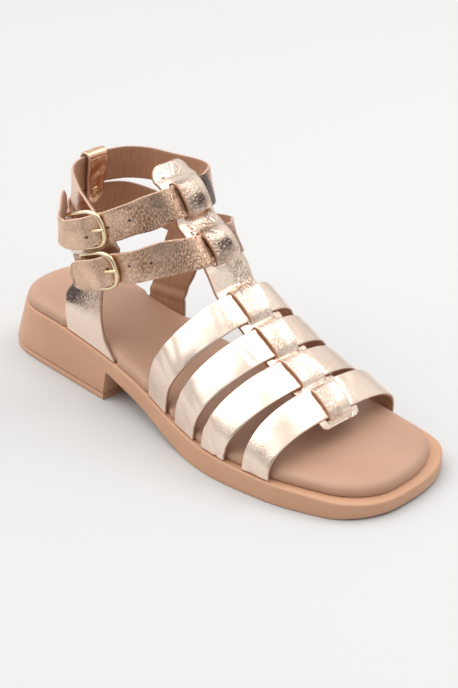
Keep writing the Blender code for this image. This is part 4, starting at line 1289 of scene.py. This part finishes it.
def strapGrid(points, spans, columns, step, roundEnd=False):
    # grid of the strap and its distances along; its last end may be a round tip
    path = pathThrough(points, spans, step)
    if roundEnd:
        tip, span = path.pop()
        way = (tip - path[-1][0]).normalized()
        for back in (0.25, 0.16, 0.09, 0.04, 0.0):
            path.append((tip - way * span.length / 2 * back, span))
    for _ in range(10):      # the width turns evenly along the strap
        turned = [span for _, span in path]
        for i in range(1, len(path) - 1):
            path[i] = (path[i][0], turned[i - 1] * 0.25 + turned[i] * 0.5 + turned[i + 1] * 0.25)
    places = [place for place, _ in path]
    runs = [0.0]
    for i in range(1, len(places)):
        runs.append(runs[-1] + (places[i] - places[i - 1]).length)
    rows = []
    for i, (place, span) in enumerate(path):
        way = (places[min(i + 1, len(places) - 1)] - places[max(i - 1, 0)]).normalized()
        side = (span - way * span.dot(way)).normalized()
        half = span.length / 2
        left = runs[-1] - runs[i]
        if roundEnd and left < half:
            half *= max(math.sqrt(max(1 - ((half - left) / half) ** 2, 0)), 0.30)
        rows.append([place + side * half * (1 - 2 * j / columns) for j in range(columns + 1)])
    return rows, runs


def buckleAxes(barRow, frontRow):
    # seat of the bar on the leg, along the strap, outward, along the bar, middle of the bar
    seat = ringPoint(barRow)
    along = (ringPoint(frontRow) - seat).normalized()
    rise = (up - along * along.z).normalized()
    outward = along.cross(rise) * -1
    if outward.y > 0:
        outward = -outward
    return seat, along, outward, rise, seat + outward * foldRadius


def tabPoints(axes, wayBack):
    # from outside round the bar and back along the leg
    seat, along, outward, _, bar = axes
    points = [bar + outward * foldRadius - along * foldRadius * 0.2]
    for angle in range(90, -76, -15):
        turn = math.radians(angle)
        points.append(bar + (along * math.cos(turn) + outward * math.sin(turn)) * foldRadius)
    points += [seat, seat - along * foldRadius]
    return points + [seat - along * back - outward * tuck for back, tuck in wayBack]


def wire(name, path, radius, node, closed=False):
    # a round wire along the points, with domed ends
    curve = bpy.data.curves.new(name, "CURVE")
    curve.dimensions = "3D"
    curve.bevel_depth = radius
    curve.bevel_resolution = 5
    curve.use_fill_caps = True
    spline = curve.splines.new("POLY")
    spline.points.add(len(path) - 1)
    for i, (point, place) in enumerate(zip(spline.points, path)):
        point.co = (*(place + rowShift), 1.0)
        ends = min(i, len(path) - 1 - i)
        point.radius = 1.0 if closed or ends > 1 else (0.55, 0.9)[ends]
    spline.use_cyclic_u = closed
    spline.use_smooth = True
    curve.materials.append(goldMat)
    addPiece(name, curve, node)


def makeBuckle(name, axes):
    _, along, outward, rise, bar = axes
    radius = buckleLook["wire"]
    reach = buckleLook["reach"]
    half = ankleLook["endWidth"] / 2 + gap + radius
    straight = reach * buckleLook["straight"]
    corner = rise * half * buckleLook["barEnd"]
    lifted = bar + along * buckleLook["barLift"]
    path = [lifted - corner]
    for angle in range(-90, 91, 5):
        turn = math.radians(angle)
        forward = max(math.cos(turn), 0.0) ** (2 / buckleLook["square"])
        across = math.copysign(abs(math.sin(turn)) ** (2 / buckleLook["square"]), angle)
        path.append(bar + along * (straight + (reach - straight) * forward) + rise * half * across)
    path.append(lifted + corner)
    wire(name + "Frame", path, buckleLook["frame"], "buckle_frame_" + name, closed=True)
    eye = radius + gap + buckleLook["prong"]
    prong = []
    for angle in range(-150, 61, 10):
        turn = math.radians(angle)
        prong.append(bar + (along * math.cos(turn) + outward * math.sin(turn)) * eye)
    start = prong[-1]
    end = bar + along * reach + outward * eye
    prong += [start.lerp(end, t) for t in (0.15, 0.3, 0.45, 0.6, 0.75, 0.9)]
    prong.append(end)
    prong.append(bar + along * (reach + radius * buckleLook["prongTip"]) + outward * (eye - gap))
    wire(name + "Prong", prong, buckleLook["prong"], "buckle_prong_" + name)


def leatherStrip(name, rows, runs, thickness, node, mats, seed, width, stressRows, creases=()):
    columns = len(rows[0]) - 1
    points, lay, strainAndPaintedDark, lift = [], [], [], []
    for i, rowPoints in enumerate(rows):
        for j in range(columns + 1):
            c = 0.5 - j / columns
            across = c * width
            points.append(rowPoints[j])
            lay.append((runs[i], across + seed))
            ends = smoothStep(0.0, 0.004, min(runs[i], runs[-1] - runs[i]))
            soft = ankleLook["wave"] * ends * wander(runs[i], across, seed * 31, 0.012)
            soft += 0.5 * ankleLook["wave"] * ends * wander(runs[i], across, seed * 17 + 4, 0.005)
            soft += creaseDepth(runs[i] * 1000, across * 1000, creases) / 1000
            lift.append(soft)
            base = float(np.interp(runs[i] * 1000, *zip(*stressRows)))
            # strain, plus painted dark reflections
            strainAndPaintedDark.append(base + paintedDarkAt(name, runs[i], across))
    mesh = thicken(name, points, gridFaces(len(rows), columns + 1, flip=True), thickness, lay, strainAndPaintedDark, lift)
    makePiece(name, mesh, node, mats)


# strain of the leather along each strap: distance along in mm, strain
ankleStress = {
    "upper": [(0, 0.35), (138, 0.35), (148, 0.85), (160, 0.90), (200, 0.95), (216, 0.60), (240, 0.40)],
    "lower": [(0, 0.35), (46, 0.35), (56, 0.85), (70, 0.85), (110, 0.90), (128, 0.60), (150, 0.45)],
}


def makeAnkleStrap(name, back, front, barRow, tail, wayBack, crossingRow, seed):
    axes = buckleAxes(barRow, front[-1])
    seat, along, outward, rise, _ = axes
    width, endWidth, crossingWidth = (ankleLook[key] for key in ("width", "endWidth", "crossingWidth"))
    lean = ridgeDirection(ridgeArc[crossingRow])
    points = [ringPoint(row) for row in back] + crossingPoints(crossingRow) + [ringPoint(row) for row in front]
    spans = [ringUp(row) * width for row in back[:-1]]
    spans.append(up.lerp(lean, 0.3).normalized() * width)
    spans += [up.lerp(lean, 0.75).normalized() * crossingWidth] + [lean * crossingWidth] * 4
    spans.append(up.lerp(lean, 0.5).normalized() * width)
    spans += [up * (width + endWidth) / 2] * (len(front) - 1)
    for reach, lift in freeEnd:
        points.append(seat + along * buckleLook["reach"] * reach + outward * freeLevel * lift)
    points += [ringPoint(row) for row in tail]
    spans += [rise * endWidth] * len(freeEnd) + [up * endWidth] * len(tail)
    rows, runs = strapGrid(points, spans, ankleLook["columns"], ankleLook["step"], roundEnd=True)
    mats = [foils["foilAnkle"], liningMat, edgeMat]
    leatherStrip(name + "AnkleStrap", rows, runs, ankleLook["thickness"], "ankle_strap_" + name, mats,
                 seed, width, ankleStress[name])
    makeBuckle(name, axes)
    points = tabPoints(axes, wayBack)
    rows, runs = strapGrid(points, [rise * endWidth] * len(points), 10, 0.0007)
    leatherStrip(name + "BuckleTab", rows, runs, ankleLook["thickness"], "buckle_tab_" + name, mats,
                 seed + 0.2, endWidth, [(0, 0.8)])


makeAnkleStrap("upper", upperRound, upperFront, upperBar, upperTail, upperTab, upperAnkleRow, 0.6)
makeAnkleStrap("lower", lowerRound, lowerFront, lowerBar, lowerTail, lowerTab, lowerAnkleRow, 0.8)
print("ankle straps and buckles made")


# counter band with its two legs

counterLook = {
    "thickness": 0.0018,
    "width": 0.0190,
    "step": 0.0012,
    "columns": 14,
    "legRows": 44,
    "legTop": 0.86,      # share of the height where the legs' own tables begin
    "seed": 1.4,
}
# share of the leg's height, back edge, front edge along the shoe
legRows = {
    lateral: [(0.86, 0.232, 0.314), (0.70, 0.230, 0.312), (0.45, 0.204, 0.310), (0.20, 0.200, 0.320),
              (0.00, 0.2055, 0.3555)],
    medial: [(0.86, 0.240, 0.344), (0.62, 0.240, 0.336), (0.35, 0.224, 0.322), (0.00, 0.224, 0.330)],
}


def makeCounter():
    width = counterLook["width"]
    columns = counterLook["columns"]
    path = pathThrough([ringPoint(row) for row in bandRows], [ringUp(row) * width for row in bandRows],
                       counterLook["step"])
    startX = path[0][0].x
    points, lay, strainAndPaintedDark, lift = [], [], [], []
    run = 0.0
    for i, (place, span) in enumerate(path):
        left = startX - place.x if place.y < 0 and i < len(path) / 2 else width
        half = width / 2
        share = 1.0
        if left < half:
            share = max(math.sqrt(max(1 - ((half - left) / half) ** 2, 0)), 0.35)
        if i:
            run += (place - path[i - 1][0]).length
        for j in range(columns + 1):
            c = 0.5 - j / columns
            points.append(place + span * c * share)
            lay.append((run, c * width + counterLook["seed"]))
            lift.append(0.0002 * wander(run, c * width, 9.0, 0.015))
            strainAndPaintedDark.append(0.35)
    faces = gridFaces(len(path), columns + 1, flip=True)
    bottoms = [i * (columns + 1) + columns for i in range(len(path))]
    for side, table in legRows.items():
        back, front = table[0][1] * length, table[0][2] * length
        onLeg = [v for v in bottoms if points[v].y * side > 0 and back < points[v].x < front]
        backAt = curveThrough([-row[0] for row in table], [row[1] * length for row in table])
        frontAt = curveThrough([-row[0] for row in table], [row[2] * length for row in table])
        above = onLeg
        tops = [points[v] for v in onLeg]
        total = counterLook["legRows"]
        for k in range(1, total + 1):
            share = 1 - k / total
            line = []
            for top, source in zip(tops, onLeg):
                t = (top.x - tops[0].x) / (tops[-1].x - tops[0].x)
                level = -min(share, counterLook["legTop"])
                first, last = backAt(level), frontAt(level)
                if tops[-1].x < tops[0].x:
                    first, last = last, first
                x = first + (last - first) * t
                x = top.x + (x - top.x) * smoothStep(1.0, counterLook["legTop"], share)
                foot = footPoint(x, side)
                place = foot.lerp(top, share)
                line.append(len(points))
                points.append(Vector((x, place.y, place.z)))
                drop = (1 - share) * (top.z - foot.z)
                lay.append((lay[source][0], lay[source][1] - drop))
                soft = 0.00035 * smoothStep(0.0, 0.2, share) * wander(x, drop, side * 5.0, 0.014)
                if side == medial:      # folds above the inner foot
                    soft -= 0.0007 * math.exp(-((share - 0.17 - 0.10 * t) / 0.035) ** 2)
                    soft += 0.0006 * math.exp(-((share - 0.25 - 0.12 * t) / 0.045) ** 2)
                lift.append(soft)
                high = smoothStep(0.28, 0.45, share)
                # painted dark reflection high on the outer leg
                paintedDark = paintedDarkAt("counterBand", lay[-1][0], lay[-1][1] - counterLook["seed"]) * high
                strainAndPaintedDark.append(0.80 * high + 0.15 + paintedDark if side == lateral else 0.3)
            for k2 in range(len(line) - 1):
                faces.append((above[k2 + 1], line[k2 + 1], line[k2], above[k2]))
            above = line
    mesh = thicken("counter", points, faces, counterLook["thickness"], lay, strainAndPaintedDark, lift)
    makePiece("counterBand", mesh, "counter_band", [foils["foilCounter"], liningMat, edgeMat])


makeCounter()
print("counter band made")


# back loop and its rivet

loopLook = {
    "width": 0.0130,
    "thickness": 0.0015,
    "drop": 0.0285,
    "rivetDrop": 0.0224,
    "wall": 0.0008,
    "taper": 0.86,
    "columns": 10,
    "rows": 34,
}
rivetLook = {"bore": 0.0015, "flange": 0.0034, "lip": 0.0007, "gap": 0.0002, "steps": 40}


def makeBackLoop():
    points = [ringPoint(row) for row in upperRound]
    middle = points[backRow]
    way = (points[backRow + 1] - points[backRow - 1]).normalized()
    path = pathThrough(points, [up] * len(points), 0.0045)
    places = [place for place, _ in path]
    lean = ringUp(upperRound[backRow])
    wall, taper = loopLook["wall"], loopLook["taper"]
    top = ankleLook["width"] / 2 + ankleLook["looseGap"] + gap + wall
    level = cadStrap / 2 + ankleLook["looseGap"] + gap + wall
    drop = loopLook["drop"]
    half = loopLook["width"] / 2

    def widthAt(share):      # the lower ends are round
        fromEnd = (1 - share) * drop
        if fromEnd < half:
            rounded = math.sqrt(max(1 - ((half - fromEnd) / half) ** 2, 0))
            return max(rounded, 0.25) * (taper + (1 - taper) * (1 - share))
        return taper + (1 - taper) * smoothStep(0.8, 0.3, share)

    # up the outside, over the strap's edge and down behind it
    profile = []
    for i in range(loopLook["rows"]):
        share = 1 - i / loopLook["rows"] * (1 - level / drop)
        profile.append((level, drop * share, widthAt(share)))
    behind = [(-out, fall, width) for out, fall, width in reversed(profile)]
    for angle in range(0, 181, 15):
        turn = math.radians(angle)
        profile.append((level * math.cos(turn), level * (1 - math.sin(turn)), 1.0))
    profile += behind
    columns = loopLook["columns"]
    rows, runs = [], []
    for k, (out, fall, width) in enumerate(profile):
        rowPoints = []
        for j in range(columns + 1):
            aim = middle + way * (j / columns - 0.5) * width * loopLook["width"]
            near = min(range(1, len(places) - 1), key=lambda i: (places[i] - aim).length)
            tangent = (places[near + 1] - places[near - 1]).normalized()
            onPath = places[near] + tangent * (aim - places[near]).dot(tangent)
            outward = lean.cross(tangent).normalized()
            rowPoints.append(onPath + outward * out + lean * (top - fall))
        rows.append(rowPoints)
        runs.append(0.0 if k == 0 else runs[-1] + (rows[-1][5] - rows[-2][5]).length)
    creases = [(9, -5, 13, 5, 1.6, 0.4), (40, -5, 44, 5, 2.2, 0.5)]
    leatherStrip("backLoop", rows, runs, loopLook["thickness"], "back_loop",
                 [foils["foilLoop"], liningMat, edgeMat], 1.9, loopLook["width"], [(0, 0.4)], creases)
    outward = lean.cross(way).normalized()
    turn = Matrix((way, outward.cross(way), outward)).transposed()
    centre = middle + lean * (top - loopLook["rivetDrop"]) + rowShift
    inner = level + wall + rivetLook["gap"]
    bore, flange, lip = rivetLook["bore"], rivetLook["flange"], rivetLook["lip"]
    profile = [(bore, inner - 0.001), (bore, inner + lip * 0.55), (bore + 0.0004, inner + lip)]
    profile += [(flange - 0.0006, inner + lip * 0.85), (flange - 0.0001, inner + lip * 0.35), (flange, inner)]
    profile += [(r, -z) for r, z in reversed(profile)]
    steps = rivetLook["steps"]
    verts, faces = [], []
    for s in range(steps):
        angle = 2 * math.pi * s / steps
        for r, z in profile:
            verts.append(centre + turn @ Vector((r * math.cos(angle), r * math.sin(angle), z)))
    count = len(profile)
    for s in range(steps):
        for k in range(count):
            n = (k + 1) % count
            t = (s + 1) % steps
            faces.append((s * count + n, t * count + n, t * count + k, s * count + k))
    mesh = bpy.data.meshes.new("backRivet")
    mesh.from_pydata([tuple(v) for v in verts], [], faces)
    makePiece("loopRivet", mesh, "back_rivet", [brassMat])


makeBackLoop()
print("back loop and rivet made")


# floor, lights and camera

studio = {
    "floorColour": (0.575, 0.575, 0.575),
    "floorReach": 0.95,
    "dark": 0.62,          # the unlit room near the horizon, as a share of the roof
    "roof": 1.0,
    "softbox": (-0.40, -0.30, 0.86),
    "boxGain": 1.48,
    "room": (0.42, -0.80, 0.22),
    "roomShade": 0.75,
    "tint": (1.0, 0.995, 0.985),
    "keyPower": 2.5,
    "fillPower": 1.0,
}


def makeStudio():
    mesh = bpy.data.meshes.new("floor")
    count = 64
    reach = studio["floorReach"]
    turns = [2 * math.pi * i / count for i in range(count)]
    ring = [(reach * math.cos(turn), reach * math.sin(turn), -0.0001) for turn in turns]
    mesh.from_pydata(ring, [], [tuple(range(count))])
    mat, tree, shader = newMaterial("paleFloor")
    setInputs(tree, shader, {"Base Color": (*studio["floorColour"], 1), "Roughness": 0.85})
    mesh.materials.append(mat)
    floor = addObject("floor", mesh)
    bpy.context.scene.view_settings.view_transform = "Standard"
    world = bpy.data.worlds.new("studio")
    world.use_nodes = True
    bpy.context.scene.world = world
    tree = world.node_tree
    place = addNode(tree, "TexCoord").outputs["Generated"]
    height = addNode(tree, "SeparateXYZ", {0: place}).outputs["Z"]
    dark = studio["dark"]
    band = ramp(tree, height, [(0.0, dark), (0.06, dark + 0.05), (0.30, 0.85), (0.6, 1.0)])

    def towards(direction, start, end):
        turned = vectorMaths(tree, "DOT_PRODUCT", place, Vector(direction).normalized())
        return ramp(tree, turned.outputs["Value"], [(start, 0.0), (end, 1.0)])

    # a large softbox over the outer side, and the dark room behind the camera
    box = towards(studio["softbox"], 0.70, 0.90)
    room = towards(studio["room"], 0.78, 0.95)
    lit = timesPlus(tree, box, studio["boxGain"], times(tree, band, studio["roof"]))
    shaded = times(tree, lit, maths(tree, "SUBTRACT", 1.0, times(tree, room, studio["roomShade"])))
    setInputs(tree, tree.nodes["Background"], {"Strength": shaded, "Color": (*studio["tint"], 1.0)})
    for name, spot, size, power in (("key", (0.25, 0.55, 0.95), 0.7, studio["keyPower"]),
                                    ("fill", (-0.75, -0.55, 0.9), 0.8, studio["fillPower"])):
        light = bpy.data.lights.new(name, "AREA")
        light.shape = "DISK"
        light.size = size
        light.energy = power
        lamp = addObject(name, light)
        lamp.location = spot
        lamp.rotation_euler = (Vector((0.0, 0.0, 0.03)) - Vector(spot)).to_track_quat("-Z", "Y").to_euler()


# the photograph's view: angles in degrees, lens in mm, distance and target in metres
cameraLook = {
    "azimuth": 43.776,
    "elevation": 28.008,
    "roll": 1.185,
    "distance": 0.8924,
    "lens": 94.36,
    "target": (0.125, 0.0, 0.040),
    "shift": (0.0212, -0.0096),
}


def makeCamera():
    a, e, r = (math.radians(cameraLook[key]) for key in ("azimuth", "elevation", "roll"))
    forward = Vector((-math.sin(a) * math.cos(e), math.cos(a) * math.cos(e), -math.sin(e)))
    right = Vector((math.cos(a), math.sin(a), 0.0))
    top = right.cross(forward)
    x = right * math.cos(r) + top * math.sin(r)
    y = top * math.cos(r) - right * math.sin(r)
    turn = Matrix((x, y, -forward)).transposed()
    lens = bpy.data.cameras.new("camera")
    lens.lens = cameraLook["lens"]
    lens.shift_x, lens.shift_y = cameraLook["shift"]
    lens.clip_start = 0.05
    camera = addObject("camera", lens)
    spot = Vector(cameraLook["target"]) + rowShift - forward * cameraLook["distance"]
    camera.matrix_world = Matrix.Translation(spot) @ turn.to_4x4()
    bpy.context.scene.camera = camera


makeStudio()
makeCamera()
print("studio and camera made")
